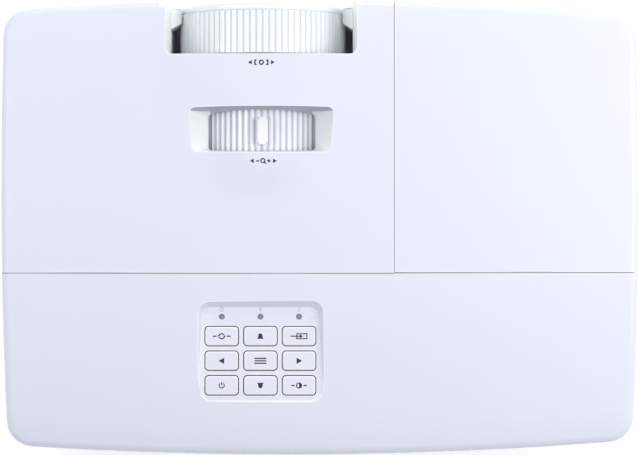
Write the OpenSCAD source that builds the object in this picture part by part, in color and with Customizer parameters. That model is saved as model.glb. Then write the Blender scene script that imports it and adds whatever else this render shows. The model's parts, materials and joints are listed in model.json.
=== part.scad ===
// Table-top data projector with a white moulded case, seen from above in use.
// Millimetres. +X is the user's right, +Y is towards the lens, +Z is up.
// The origin lies on the table, under the middle of the case.

/* [Case] */
// Width over the widest part of the sides
case_w = 315; // [300:1:330]
// Depth over the middle of the bowed front and rear
case_d = 224.4; // [217:0.2:232]
// Height of the top at the crease line
case_top = 90.4; // [89.4:0.2:92]
// Height of the case bottom above the table
foot_h = 5.5; // [4.5:0.5:7]
// Height of the line where upper and lower case meet
parting_z = 44; // [42:0.5:46]
// Wall thickness of the mouldings
wall = 2.2; // [1.8:0.1:2.6]
// Corner radius seen from above
corner_r = 12; // [10:0.5:16]
// Radius of the edge between top and sides
shoulder_r = 4; // [3:0.5:5]
// Radius of the edge between bottom and sides
base_r = 5; // [3:0.5:6]
// How far the front edge falls back at the corners
front_bow = 6.4; // [4:0.2:8]
// How far the rear edge comes forward at the corners
rear_bow = 5.4; // [4:0.2:8]
// How far the sides draw in at the rear corners
side_bow = 2.6; // [1:0.2:6]
// Place of the foremost point of the front edge
bow_x = -17; // [-22:1:10]
// Place of the widest point of the sides
widest_y = 26; // [10:1:40]
// Fall of the top from the middle to the sides
crown = 4.6; // [3:0.2:6]
// Fall of the top from the crease to the front edge
front_drop = 3; // [1:0.2:4]
// Fall of the top from the crease to the rear edge
rear_drop = 6; // [4:0.2:7]
// Place of the crease line across the top
crease_y = -22.6; // [-26:0.2:-20]
// Width of the crease line
groove_w = 0.6; // [0.4:0.1:1]
// Depth of the crease line
groove_d = 0.5; // [0.3:0.1:0.8]
// Height of the soft rise over the lens
hump_h = 3.2; // [2.4:0.2:3.6]
// Half width of the rise at its round end
hump_r = 33; // [28:1:38]
// Widening of the rise towards the front
hump_flare = 0.75; // [0.4:0.05:0.9]
// Width over which the rise fades out
hump_blend = 22; // [16:1:26]
// Rear end of the rise
hump_end_y = 11; // [6:1:16]
// Place of the seam between upper case and lamp cover
seam_x = 36.1; // [32:0.5:40]
// Gap of that seam
seam_gap = 0.4; // [0.3:0.1:0.6]
// Gap between the lamp cover's rear edge and the upper case
crease_gap = 0.6; // [0.4:0.1:0.8]

/* [Lens] */
// Place of the lens axis across the case
lens_x = -29; // [-32:0.5:-26]
// Height of the lens axis
axis_z = 49.9; // [49.5:0.1:50.5]
// Radius over the ribs of the focus ring
focus_r = 41.8; // [41:0.1:42]
// Ribs round the focus ring
focus_ribs = 82; // [60:1:90]
// Depth of the grooves between those ribs
focus_rib_d = 0.8; // [0.5:0.1:1.2]
// Length of the ribbed band
focus_band = 20.7; // [18:0.1:21]
// Length of the smooth rim in front of the ribs
focus_rim = 3.5; // [2.5:0.1:4]
// Radius over the flutes of the zoom ring
zoom_r = 34.4; // [34:0.1:34.8]
// Flutes round the zoom ring
zoom_ribs = 67; // [50:1:80]
// Depth of those flutes
zoom_rib_d = 1.3; // [0.8:0.1:1.5]
// Length of the zoom ring
zoom_len = 23; // [20:0.5:24]
// Distance of the zoom ring's middle behind the foremost edge
zoom_back = 64.7; // [63.7:0.1:65.7]
// Width of the finger tab on the zoom ring
tab_w = 4.9; // [4:0.1:6]
// Length of the finger tab
tab_len = 13.5; // [11:0.5:14]
// Rise of the finger tab over the flutes
tab_h = 2.5; // [1.5:0.1:3]
// Angle of the finger tab from the top at rest
tab_angle = 1.3; // [0:0.1:3]
// Outer radius of the lens barrel
barrel_r = 30; // [29:0.1:30.5]
// Bore radius of the lens barrel
barrel_bore = 26.08; // [25:0.02:26.5]
// Distance of the barrel's front end behind the foremost edge
barrel_back = 12.2; // [11.2:0.1:14.2]
// Running clearance of rings and lens cells
run = 0.08; // [0.03:0.01:0.1]
// Radius of the front lens
front_lens_r = 23.2; // [21:0.1:24]
// Radius of the zoom lens
zoom_lens_r = 19.5; // [17:0.1:21]
// Radius of the rear lens
rear_lens_r = 15; // [13:0.1:17]

/* [Openings in the case] */
// Half width of the focus bay at the top surface
bay_half = 48.35; // [47.5:0.1:49]
// Half width of the focus bay below its drafted edge
bay_inner_half = 45.35; // [44.5:0.1:46]
// Length of the focus bay from the foremost edge
bay_len = 27; // [26.8:0.1:27.2]
// Depth of the bay's drafted edge
bay_draft = 14; // [8:1:20]
// Radius of the round port below the bay
port_r = 42.8; // [42.6:0.1:43]
// Half width of the zoom pocket at the top surface
pocket_half = 37.6; // [36:0.2:39]
// Half width of the zoom pocket at the ring
slot_half = 25.9; // [24:0.1:27]
// Front edge of the zoom pocket ahead of the ring's middle
pocket_ahead = 12.2; // [11.5:0.1:13]
// Rear edge of the zoom pocket behind the ring's middle
pocket_behind = 10.7; // [10:0.1:11.5]
// Front edge of the slot ahead of the ring's middle
slot_ahead = 8; // [7.5:0.1:9]
// Rear edge of the slot behind the ring's middle
slot_behind = 8.9; // [8.3:0.1:9.5]
// Gap between the pocket walls and the zoom ring
slot_gap = 1.2; // [0.8:0.1:1.6]

/* [Keypad] */
// Middle of the keypad recess across the case
keypad_x = -29.4; // [-32:0.2:-26]
// Distance of the recess's middle from the rearmost edge
keypad_ahead = 51.3; // [49.2:0.1:53.2]
// Width of the recess at the top surface
keypad_w = 62.3; // [60:0.1:66]
// Length of the recess at the top surface
keypad_d = 50.5; // [49:0.1:53]
// Depth of the level recess floor below the crease line
keypad_sink = 4.1; // [3.8:0.1:4.4]
// Width of one key
key_w = 16.1; // [14:0.1:17]
// Length of one key
key_d = 9.2; // [8:0.1:10]
// Key spacing across
key_pitch_x = 19; // [18:0.1:20]
// Key spacing along
key_pitch_y = 12.1; // [11.2:0.1:12.6]
// Distance of the middle row of keys behind the recess's middle
key_back = 4.7; // [3.3:0.1:6]
// Rise of the keys over the recess floor
key_rise = 0.8; // [0.5:0.1:1.2]
// Gap round each key
key_gap = 0.45; // [0.3:0.05:0.6]
// Key travel
key_travel = 0.6; // [0.4:0.1:0.8]
// Corner radius of a key
key_r = 1.6; // [1:0.1:2.5]
// Diameter of an indicator light
led_d = 2.7; // [2:0.1:3.2]
// Distance of the row of lights ahead of the recess's middle
led_ahead = 17; // [16.4:0.1:17.8]

/* [Feet] */
// Radius of a foot pad
pad_r = 9; // [7:0.5:11]
// Height of the rubber of a foot
pad_h = 2.4; // [1.6:0.2:3]
// Radius of the foot screws
stud_r = 4; // [3:0.1:5]
// Place of the front foot across
front_foot_x = 32; // [30:1:34]
// Distance of the front foot behind the foremost edge
front_foot_in = 24.2; // [22.2:0.1:28.2]
// Length of the front foot screw in the case
front_stud = 16; // [13:1:18]
// Distance of the rear feet from the sides
rear_foot_in = 31.5; // [29.5:0.5:39]
// Distance of the rear feet from the rearmost edge
rear_foot_ahead = 28.2; // [26.2:0.1:34.2]
// Length of the rear foot screw in the case
rear_stud = 7.3; // [6.5:0.1:7.5]

/* [Lamp and optics] */
// Width of the optical engine's main box
engine_w = 82; // [78:1:84]
// Depth of the main box
engine_d = 64; // [58:1:64]
// Distance of the main box's top below the crease line
engine_drop = 20.4; // [19:0.2:24]
// Distance of the main box's front behind the foremost edge
engine_back = 98.2; // [97.2:0.1:99.7]
// Wall of the engine and lamp housings
cast_wall = 2.5; // [2:0.1:3]
// Length of the arm that holds the light tunnel
arm_len = 36; // [32:1:37]
// Width and height of that arm
arm_size = 32; // [28:1:32]
// Distance of the lamp axis ahead of the main box's front
lamp_ahead = 2; // [1:0.5:4]
// Distance of the colour wheel's top below the crease line
wheel_drop = 7.9; // [7.5:0.1:9]
// How far the light path lies inside the wheel's rim
wheel_rim = 3.4; // [3:0.1:4]
// Distance of the lamp housing from the right side
lamp_side = 29.5; // [28.5:0.5:33.5]
// Depth of the lamp housing
lamp_d = 60; // [58:1:62]
// Distance of the lamp housing's top below the crease line
lamp_drop = 10.4; // [10:0.2:16]
// Gap between the lamp reflector's mouth and its housing
reflector_gap = 2.1; // [2:0.1:4]

/* [Cooling] */
// How much narrower the exhaust fan is than the lamp housing
fan_less = 4; // [4:1:14]
// Depth of the exhaust fan
fan_depth = 15; // [10:1:16]
// Distance of the exhaust fan's front behind the foremost edge
fan_back = 11.2; // [10.9:0.1:13]
// Blades of the exhaust fan
fan_blades = 7; // [5:1:9]
// Side of the lamp blower
blower_size = 36; // [32:1:38]
// Height of the lamp blower
blower_h = 18; // [14:1:20]
// Blades of the lamp blower
blower_blades = 18; // [12:1:24]
// Spacing of the louvres in the exhaust grille
louvre_pitch = 4.4; // [3.6:0.2:6]
// Thickness of a louvre
louvre_t = 1.1; // [0.8:0.1:1.6]
// Width of a slot in the side vents
vent_w = 2.6; // [2:0.2:3.4]
// Spacing of the slots in the side vents
vent_pitch = 6; // [5:0.5:8]

/* [Boards and sockets] */
// Thickness of a circuit board
board_t = 1.6; // [1.2:0.1:2]
// Height of the boards' lower face
board_z = 14; // [13.5:0.5:15]
// How much narrower the rear panel is than the case
panel_less = 37; // [35:1:45]
// Middle of the rear panel across
panel_x = -5; // [-6:1:-4]
// Distance of the rear panel from the rearmost edge
panel_in = 8.2; // [7.7:0.1:9.2]
// Lower edge of the rear panel
panel_z = 12; // [11.5:0.5:12.5]
// Clearance round sockets, panels and windows
fit_gap = 0.25; // [0.15:0.05:0.4]

/* [Fasteners] */
// Shank radius of a case screw
screw_r = 1.5; // [1.3:0.05:1.6]
// Head radius of a case screw
head_r = 2.9; // [2.6:0.1:3.2]
// Length of a case screw under its head
screw_len = 48; // [44:1:50]
// Radius of a screw boss
boss_r = 4; // [3.6:0.1:4.6]
// Thread radius of a ceiling-mount insert
insert_bore = 2; // [1.5:0.1:2.5]
// Outer radius of a ceiling-mount insert
insert_r = 3.2; // [3:0.1:3.6]
// Length of a ceiling-mount insert
insert_len = 7; // [6:0.5:8]

/* [Hidden] */
KEY_NAMES = ["key_resync", "key_up", "key_source", "key_left", "key_menu", "key_right",
  "key_power", "key_down", "key_mode"];
$fn = 64;
eps = 0.01;
half_w = case_w/2;
half_d = case_d/2;

// ---- Places that follow the edges of the case ----

bay_y = half_d - bay_len;
barrel_front = half_d - barrel_back;
zoom_y = half_d - zoom_back;
pocket_front = zoom_y + pocket_ahead;
pocket_rear = zoom_y - pocket_behind;
slot_front = zoom_y + slot_ahead;
slot_rear = zoom_y - slot_behind;
keypad_y = keypad_ahead - half_d;
keypad_floor = case_top - keypad_sink;
key_mid_y = keypad_y - key_back;
led_y = keypad_y + led_ahead;
front_foot_y = half_d - front_foot_in;
rear_foot_x = half_w - rear_foot_in;
rear_foot_y = rear_foot_ahead - half_d;
panel_w = case_w - panel_less;
panel_y = panel_in - half_d;
panel_left = panel_x - panel_w/2;
panel_right = panel_x + panel_w/2;
engine_front = half_d - engine_back;
lamp_y = engine_front + lamp_ahead;
wheel_r = (case_top - wheel_drop - axis_z + wheel_rim)/2;
wheel_up = wheel_r - wheel_rim;

// ---- Outline and top surface ----

corner_x = half_w - corner_r;
corner_y = half_d - corner_r;
corner_steps = [90, 72, 54, 36, 18];
hump_y = hump_end_y + hump_r;

function clamp(v, lo, hi) = min(max(v, lo), hi);
function ease(t) = let(u = clamp(t, 0, 1)) u*u*(3 - 2*u);
function span(from, to, steps) = [for (k = [0:steps]) from + (to - from)*k/steps];

// Bows the straight edges of a rounded rectangle outwards
function bow(p) = [
  p.x*(1 - side_bow/half_w*pow((p.y - widest_y)/(half_d + widest_y), 2)),
  p.y*(1 - (p.y > 0 ? front_bow : rear_bow)/half_d*pow((p.x - bow_x)/half_w, 2))];

function hump(x, y) =
  let(flare = hump_flare*max(y - hump_y, 0), d = norm([x - lens_x, min(y - hump_y, 0)]))
  hump_h*ease((hump_r + flare - d)/(hump_blend + flare));

function top_z(x, y) =
  let(f = (y - crease_y)/(half_d - crease_y), r = (crease_y - y)/(half_d + crease_y))
  case_top - crown*pow(x/half_w, 2) - (y > crease_y ? front_drop*f*f : rear_drop*(0.3*r + 0.7*r*r))
  + hump(x, y) - (abs(y - crease_y) < groove_w/2 - eps ? groove_d : 0);

// Columns and rows of the grid that carries the top surface
outer_x = concat(span(-corner_x, lens_x - 66, 2), span(lens_x - 54, lens_x + 54, 12),
  span(lens_x + 70, corner_x, 4));
inner_x = concat(span(-corner_x, lens_x - 60, 1), span(lens_x - 40, lens_x + 40, 5),
  span(lens_x + 60, corner_x, 3));
outer_y = concat(span(6 - corner_y, crease_y - 16, 3),
  [for (s = [-1, -1 + eps, 1 - eps, 1]) crease_y + s*groove_w/2],
  span(crease_y + 14, hump_end_y - 6, 1), span(hump_end_y, hump_end_y + 40, 6),
  span(hump_end_y + 52, corner_y - 6, 3));
inner_y = concat(span(6 - corner_y, crease_y - 14, 2), [crease_y, 0],
  span(hump_end_y + 6, corner_y - 6, 5));

function columns(inset, xs) = let(r = corner_r - inset) concat(
  [for (t = corner_steps) -corner_x - r*sin(t)], xs,
  [for (k = [len(corner_steps) - 1:-1:0]) corner_x + r*sin(corner_steps[k])]);

function edge_y(x, inset) = let(r = corner_r - inset, over = max(abs(x) - corner_x, 0))
  corner_y + sqrt(max(r*r - over*over, 0));

// Outline of the case, drawn in by inset, clockwise from its left front corner
function outline(inset, xs = outer_x, ys = outer_y) =
  let(cx = columns(inset, xs), last = len(cx) - 1) [for (q = concat(
    [for (x = cx) [x, edge_y(x, inset)]],
    [for (j = [len(ys) - 1:-1:0]) [cx[last], ys[j]]],
    [for (k = [last:-1:0]) [cx[k], -edge_y(cx[k], inset)]],
    [for (y = ys) [cx[0], y]])) bow(q)];

// Closed solid under the crowned top, with a rounded shoulder of radius round_r
module top_solid(inset, round_r, xs, ys, z_low) {
  cx = columns(inset + round_r, xs);
  nx = len(cx);
  ny = len(ys) + 2;
  grid = [for (x = cx) let(e = edge_y(x, inset + round_r)) for (y = concat([-e], ys, [e]))
    let(p = bow([x, y])) [p.x, p.y, top_z(p.x, p.y) - inset]];
  border = concat([for (c = [0:nx - 1]) c*ny + ny - 1], [for (j = [ny - 2:-1:1]) (nx - 1)*ny + j],
    [for (c = [nx - 1:-1:0]) c*ny], [for (j = [1:ny - 2]) j]);
  n = len(border);
  arc = [67.5, 45, 22.5, 0];
  rings = [for (t = arc) for (p = outline(inset + round_r*(1 - cos(t)), xs, ys))
    [p.x, p.y, top_z(p.x, p.y) - inset - round_r*(1 - sin(t))]];
  foot = [for (p = outline(inset, xs, ys)) [p.x, p.y, z_low]];
  function id(s, k) = s == 0 ? border[k%n] : nx*ny + (s - 1)*n + k%n;
  polyhedron(concat(grid, rings, foot), concat(
    [for (c = [0:nx - 2]) for (j = [0:ny - 2]) let(p = c*ny + j) each
      [[p, p + 1, p + ny + 1], [p, p + ny + 1, p + ny]]],
    [for (s = [0:len(arc)]) for (k = [0:n - 1]) each
      [[id(s, k + 1), id(s, k), id(s + 1, k)], [id(s, k + 1), id(s + 1, k), id(s + 1, k + 1)]]],
    [[for (k = [n - 1:-1:0]) id(len(arc) + 1, k)]]), convexity = 4);
}

// Closed solid over the flat bottom, with a rounded lower edge
module base_solid(inset, round_r, xs, ys, z_low, z_high) {
  steps = concat([for (t = [90, 60, 30, 0]) [inset + round_r*(1 - cos(t)), z_low + round_r*(1 - sin(t))]],
    [[inset, z_high]]);
  points = [for (s = steps) for (p = outline(s[0], xs, ys)) [p.x, p.y, s[1]]];
  n = len(outline(inset, xs, ys));
  polyhedron(points, concat([[for (k = [n - 1:-1:0]) k]],
    [for (s = [0:len(steps) - 2]) for (k = [0:n - 1]) let(a = s*n + k, b = s*n + (k + 1)%n) each
      [[a, b, b + n], [a, b + n, a + n]]],
    [[for (k = [0:n - 1]) (len(steps) - 1)*n + k]]), convexity = 4);
}

// ---- Small helpers ----

module box(low, high) { translate(low) cube(high - low); }

module rounded_rect(w, d, r) {
  square([w - 2*r, d], center = true);
  square([w, d - 2*r], center = true);
  for (x = [-1, 1], y = [-1, 1]) translate([x*(w/2 - r), y*(d/2 - r)]) circle(r);
}

// Turns an upright piece so that it stands on the lens axis, looking forward
module on_lens_axis(y = 0) { translate([lens_x, y, axis_z]) rotate([-90, 0, 0]) children(); }

module ring(outer, inner, h) {
  difference() {
    cylinder(r = outer, h = h);
    translate([0, 0, -1]) cylinder(r = inner, h = h + 2);
  }
}

// ---- Shared places ----

inner_floor = foot_h + wall;
screw_seat = foot_h + 6;
screw_tip = screw_seat + screw_len;
bay_front = half_d + 5;
engine_low = [lens_x - engine_w/2 - 2, engine_front - engine_d, 12];
engine_high = [engine_low.x + engine_w, engine_front, case_top - engine_drop];
arm_end = engine_high.x + arm_len;
wheel_x = arm_end + 4;
wheel_z = axis_z + wheel_up;
lamp_low = [wheel_x + 14, lamp_y - lamp_d/2, 12];
lamp_high = [half_w - lamp_side, lamp_y + lamp_d/2, case_top - lamp_drop];
lamp_w = lamp_high.x - lamp_low.x;
reflector_r = lamp_high.z - cast_wall + 0.5 - axis_z - reflector_gap;
fan_size = lamp_w - fan_less;
fan_x = (lamp_low.x + lamp_high.x)/2;
fan_rear = half_d - fan_depth - fan_back;
fan_z = lamp_low.z + fan_size/2;
grille_x = [lamp_low.x - 14, half_w - 19.5];
grille_z = [14, case_top - 18.4];
screw_x = half_w - 11;
screw_rear = 23.5 - half_d;
screw_places = [[-screw_x, screw_rear], [-screw_x, 20], [-84, half_d - 14.2], [screw_x, screw_rear],
  [screw_x, -34], [24, -40]];
cover_screw = [half_w - 19.5, half_d - 26.2];
insert_places = [[-100, 40], [50, 40], [-25, -80]];
socket_z = board_z + board_t;
power_low = [19.5 - half_w, panel_y + 34, board_z];
power_high = [engine_low.x - 10, half_d - 54.2, socket_z];
main_low = [panel_right - 196, panel_y + 2 + fit_gap, board_z];
main_high = [panel_right - 0.5, engine_low.y - 6, socket_z];
function corners(low, high, in_x, in_y) = [for (x = [low.x + in_x, high.x - in_x],
  y = [low.y + in_y, high.y - in_y]) [x, y]];
power_places = corners(power_low, power_high, 4, 6);
main_places = corners(main_low, main_high, 6, 6);
engine_places = corners(engine_low, engine_high, 6, 6);
key_floor_low = keypad_floor - wall;
key_top = keypad_floor + key_rise;
switch_top = key_floor_low - 2.4;
key_board_top = switch_top - 3.5;
key_posts = [for (x = [-1, 1], y = [-1, 1])
  [keypad_x + x*(keypad_w/2 - 0.85), keypad_y + y*(keypad_d/2 - 5.25)]];
led_places = [for (c = [-1, 0, 1]) [keypad_x + c*key_pitch_x, led_y]];
cover_lip = lamp_high.z + 2;

// ---- Case ----

module bay_cut() {
  rear = bay_y;
  length = bay_front - rear;
  z_draft = case_top + hump_h - bay_draft;
  hull() {
    translate([lens_x, rear + length/2, case_top + hump_h + 2])
      linear_extrude(eps) rounded_rect(2*bay_half, length, 4);
    translate([lens_x, rear + length/2, z_draft])
      linear_extrude(eps) rounded_rect(2*bay_inner_half, length, 3);
  }
  translate([lens_x, rear + length/2, parting_z - 1])
    linear_extrude(z_draft - parting_z + 1.5) rounded_rect(2*bay_inner_half, length, 3);
}

// The drafted funnel over the zoom ring, grown by more on all sides
module pocket_shape(more) {
  hull() {
    translate([lens_x, 0, case_top + hump_h]) linear_extrude(1) offset(3 + more) polygon([
      [3 - pocket_half, pocket_front - 3], [pocket_half - 3, pocket_front - 3],
      [pocket_half - 4.5, pocket_rear + 3], [4.5 - pocket_half, pocket_rear + 3]]);
    translate([lens_x, (slot_front + slot_rear)/2, axis_z + sqrt(pow(zoom_r, 2) - pow(slot_half, 2))])
      linear_extrude(1) rounded_rect(2*(slot_half + more), slot_front - slot_rear + 2*more, 2 + more);
  }
}

module zoom_trim() {
  on_lens_axis(zoom_y - 20) cylinder(r = zoom_r + slot_gap, h = 40);
}

module keypad_cut() {
  rim_mid = (top_z(keypad_x, keypad_y + keypad_d/2) + top_z(keypad_x, keypad_y - keypad_d/2))/2;
  tilt = atan((top_z(keypad_x, keypad_y + keypad_d/2) - top_z(keypad_x, keypad_y - keypad_d/2))/keypad_d);
  hull() {
    translate([keypad_x, keypad_y, rim_mid + 0.4]) rotate([tilt, 0, 0]) linear_extrude(2)
      rounded_rect(keypad_w, keypad_d, 6);
    translate([keypad_x, keypad_y - 1.5, keypad_floor]) linear_extrude(eps)
      rounded_rect(keypad_w - 5.8, keypad_d - 4.6, 4);
  }
}

module key_places() {
  for (k = [0:8]) translate([keypad_x + (k%3 - 1)*key_pitch_x, key_mid_y + (1 - floor(k/3))*key_pitch_y, 0])
    children();
}

module keypad_holes() {
  key_places() translate([0, 0, key_floor_low - 1]) linear_extrude(wall + 2)
    rounded_rect(key_w + 2*key_gap, key_d + 2*key_gap, key_r + key_gap);
  for (p = led_places) translate([p.x, p.y, key_floor_low - 1]) cylinder(d = led_d + 0.2, h = wall + 2);
}

module lamp_region(gap) {
  box([seam_x + gap, crease_y + gap*crease_gap/seam_gap, parting_z - 5], [case_w, case_d, 2*case_top]);
}

// Hollow of the upper case, less its inner walls and bosses
module upper_cavity() {
  difference() {
    top_solid(wall, shoulder_r - wall + 0.4, inner_x, inner_y, parting_z - 1);
    pocket_shape(wall);
    translate([keypad_x, keypad_y, key_floor_low]) linear_extrude(20)
      rounded_rect(keypad_w + 2*wall, keypad_d + 2*wall, 6 + wall);
    for (s = [-1, 1]) translate([lens_x + s*(bay_inner_half + wall/2) - wall/2, bay_y - 7, parting_z - 2])
      cube([wall, 40, 60]);
    box([seam_x - wall, crease_y, cover_lip], [seam_x, case_d, 2*case_top]);
    box([seam_x - wall, crease_y - wall, cover_lip], [case_w, crease_y, 2*case_top]);
    for (p = screw_places) translate([p.x, p.y, parting_z - 2]) cylinder(r = boss_r, h = 60);
    for (p = key_posts) translate([p.x, p.y, key_board_top]) cylinder(r = 1.9, h = 20);
  }
}

// Bores for the case screws above the parting line
module screw_bores(places, gap) {
  for (p = places) translate([p.x, p.y, parting_z - 1])
    cylinder(r = screw_r + gap, h = screw_tip + 2 - parting_z);
}

module upper_case() {
  color("ghostwhite") difference() {
    top_solid(0, shoulder_r, outer_x, outer_y, parting_z);
    upper_cavity();
    lamp_region(0);
    bay_cut();
    pocket_shape(0);
    zoom_trim();
    keypad_cut();
    keypad_holes();
    screw_bores(screw_places, 0.05);
    translate(ir_place) rotate([0, 0, ir_yaw]) translate([0, -wall - 2, 0]) rotate([-90, 0, 0])
      linear_extrude(20) rounded_rect(ir_w + 2*fit_gap, ir_h + 2*fit_gap, 2);
  }
}

module lamp_cover() {
  color("white") difference() {
    intersection() {
      difference() {
        top_solid(0, shoulder_r, outer_x, outer_y, parting_z + fit_gap);
        difference() {
          top_solid(wall, shoulder_r - wall + 0.4, inner_x, inner_y, parting_z - 1);
          translate([cover_screw.x, cover_screw.y, parting_z - 2]) cylinder(r = boss_r, h = 60);
          for (y = [0, 36, 72]) box([seam_x + seam_gap, y, cover_lip], [half_w, y + 1.6, 2*case_top]);
        }
      }
      lamp_region(seam_gap);
    }
    box([grille_x[0] - fit_gap, half_d - 30, 0], [grille_x[1] + fit_gap, case_d, grille_z[1] + fit_gap]);
    screw_bores([cover_screw], run);
  }
}

module side_vents() {
  for (y = [-66:vent_pitch:54], s = [-1, 1])
    translate([s*half_w, y, 15 + 12]) cube([30, vent_w, 24], center = true);
}

cradle_y = zoom_y + zoom_len/2 + 4;
cradle_d = 12;

module lower_cavity() {
  liner = panel_w/2 + wall;
  difference() {
    base_solid(wall, base_r - wall, inner_x, inner_y, inner_floor, parting_z + 1);
    box([panel_x - liner, -case_d, 0], [panel_x + liner, panel_y + 4, panel_z]);
    for (s = [-1, 1]) translate([panel_x + s*(liner - wall/2), panel_y - 6, 30])
      cube([wall, 20, 60], center = true);
    for (p = concat(screw_places, [cover_screw])) translate([p.x, p.y, 0]) cylinder(r = boss_r + 1, h = 60);
    for (p = concat(power_places, main_places)) translate([p.x, p.y, 0]) cylinder(r = 3, h = board_z);
    for (p = engine_places) translate([p.x, p.y, 0]) cylinder(r = 4, h = engine_low.z);
    for (p = insert_places) translate([p.x, p.y, 0])
      cylinder(r = insert_r + 2, h = foot_h + insert_len + 0.8);
    translate([front_foot_x, front_foot_y, 0]) cylinder(r = stud_r + 3, h = foot_h + front_stud + 0.6);
    translate([rear_foot_x, rear_foot_y, 0]) cylinder(r = stud_r + 3, h = foot_h + rear_stud + 0.6);
    for (x = [lamp_low.x + 8, lamp_high.x - 10], y = [lamp_low.y + 6, lamp_high.y - 10])
      box([x, y, 0], [x + 3, y + 6, lamp_low.z]);
    for (x = [fan_x - fan_size/2 + 4, fan_x + fan_size/2 - 7])
      box([x, fan_rear, 0], [x + 3, fan_rear + fan_depth, lamp_low.z]);
    for (s = [-1, 1]) translate([lens_x + s*18 - 1.25, cradle_y, 0]) cube([2.5, cradle_d, axis_z - 20]);
  }
}

module lower_case() {
  liner = panel_w/2;
  color("whitesmoke") difference() {
    base_solid(0, base_r, outer_x, outer_y, foot_h, parting_z);
    lower_cavity();
    box([panel_x - liner, -case_d, panel_z], [panel_x + liner, panel_y, parting_z + 1]);
    box([panel_x - liner - panel_lip - 0.2, panel_y - fit_gap/2, panel_z - panel_lip - 0.2],
      [panel_x + liner + panel_lip + 0.2, panel_y + panel_t + fit_gap/2, parting_z + 1]);
    side_vents();
    box([grille_x[0] - fit_gap, half_d - 12, grille_z[0] - fit_gap],
      [grille_x[1] + fit_gap, case_d, parting_z + 1]);
    on_lens_axis(80) cylinder(r = port_r, h = 40);
    on_lens_axis(cradle_y - 0.5) cylinder(r = barrel_r, h = cradle_d + 1);
    for (p = concat(screw_places, [cover_screw])) translate([p.x, p.y, 0]) {
      cylinder(r = screw_r + 0.05, h = 60);
      cylinder(r = head_r + 0.3, h = screw_seat);
    }
    for (p = insert_places) translate([p.x, p.y, 0]) cylinder(r = insert_r, h = foot_h + insert_len);
    translate([front_foot_x, front_foot_y, 0]) cylinder(r = stud_r + run, h = 60);
    translate([rear_foot_x, rear_foot_y, 0]) cylinder(r = stud_r + run, h = 60);
    translate([-rear_foot_x, rear_foot_y, 0]) cylinder(r = 2.5, h = 60);
    translate([panel_right + 7, -half_d, 24]) cube([7, 20, 3], center = true);
  }
}

ir_x = 45 - half_w;
ir_w = 16;
ir_h = 9;
ir_front = half_d - front_bow*pow((ir_x - bow_x)/half_w, 2);
ir_yaw = atan(-2*front_bow*(ir_x - bow_x)/pow(half_w, 2));
ir_place = [ir_x, ir_front - 0.2, 58];

module ir_window() {
  rim = 0.5;
  color("dimgray") translate(ir_place) rotate([0, 0, ir_yaw])
    translate([0, -wall - rim - 0.1, 0]) rotate([-90, 0, 0]) {
      linear_extrude(wall + rim) rounded_rect(ir_w, ir_h, 1.8);
      linear_extrude(rim) rounded_rect(ir_w + 2, ir_h + 2, 2);
    }
}

// ---- Rear panel and exhaust grille ----

module d_shape(w, h, r) {
  slant = 1.4;
  offset(r) polygon([[r - w/2, h/2 - r], [w/2 - r, h/2 - r],
    [w/2 - r - slant, r - h/2], [r + slant - w/2, r - h/2]]);
}

panel_t = 2;
panel_lip = 0.6;
inlet_x = panel_left + 19;
inlet_z = 26;
inlet_size = [28, 20.4];
plate_right = inlet_x + 24;
plug_size = [17.4, 9];
nut_x = 12.5;
nut_r = 2.4;
hdmi_size = [15, 5.8];
usb_size = [7.8, 4.2];
s_video_r = 4.9;
composite_r = 4.15;
audio_r = 3.4;
vga_places = [panel_right - 176, panel_right - 140];
serial_x = panel_right - 104;
hdmi_x = panel_right - 78;
usb_x = panel_right - 63;
s_video_x = panel_right - 48;
composite_x = panel_right - 32;
audio_places = [panel_right - 18, panel_right - 6];
jack_z = socket_z + 6.5;
hdmi_z = socket_z + 3.2;
usb_z = socket_z + 2.4;

// Places a profile on the rear panel, looking out of the case
module at_panel(x, z, y = panel_y) { translate([x, y, z]) rotate([90, 0, 0]) children(); }

// Cuts a hole of the profile that follows through the rear panel
module through_panel(x, z) {
  at_panel(x, z, panel_y + panel_t + 1) linear_extrude(panel_t + 2) children();
}

module socket_panel() {
  slot_pitch = 2.4;
  slot = [1.1, 18];
  color("gainsboro") difference() {
    box([plate_right + fit_gap, panel_y, panel_z - panel_lip],
      [panel_right + panel_lip, panel_y + panel_t, parting_z - fit_gap]);
    for (x = concat(vga_places, [serial_x])) {
      through_panel(x, jack_z) d_shape(plug_size.x + 2*fit_gap, plug_size.y + 2*fit_gap, 2);
      for (s = [-1, 1]) through_panel(x + s*nut_x, jack_z) circle(nut_r + 0.2);
    }
    through_panel(hdmi_x, hdmi_z) square([hdmi_size.x + 0.6, hdmi_size.y + 0.6], center = true);
    through_panel(usb_x, usb_z) square([usb_size.x + 0.6, usb_size.y + 0.6], center = true);
    through_panel(s_video_x, jack_z) circle(s_video_r + 0.3);
    through_panel(composite_x, jack_z) circle(composite_r + 0.85);
    for (x = audio_places) through_panel(x, jack_z - 2) circle(audio_r + 0.3);
    for (x = [plate_right + 5:slot_pitch:vga_places[0] - 20]) through_panel(x, 27)
      square(slot, center = true);
  }
}

// Plate round the mains inlet, beside the socket panel
module inlet_plate() {
  color("gainsboro") difference() {
    box([panel_left - panel_lip, panel_y, panel_z - panel_lip],
      [plate_right, panel_y + panel_t, parting_z - fit_gap]);
    through_panel(inlet_x, inlet_z)
      rounded_rect(inlet_size.x + 2*fit_gap, inlet_size.y + 2*fit_gap, 2);
  }
}

module rear_panel() {
  socket_panel();
  inlet_plate();
}

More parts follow.
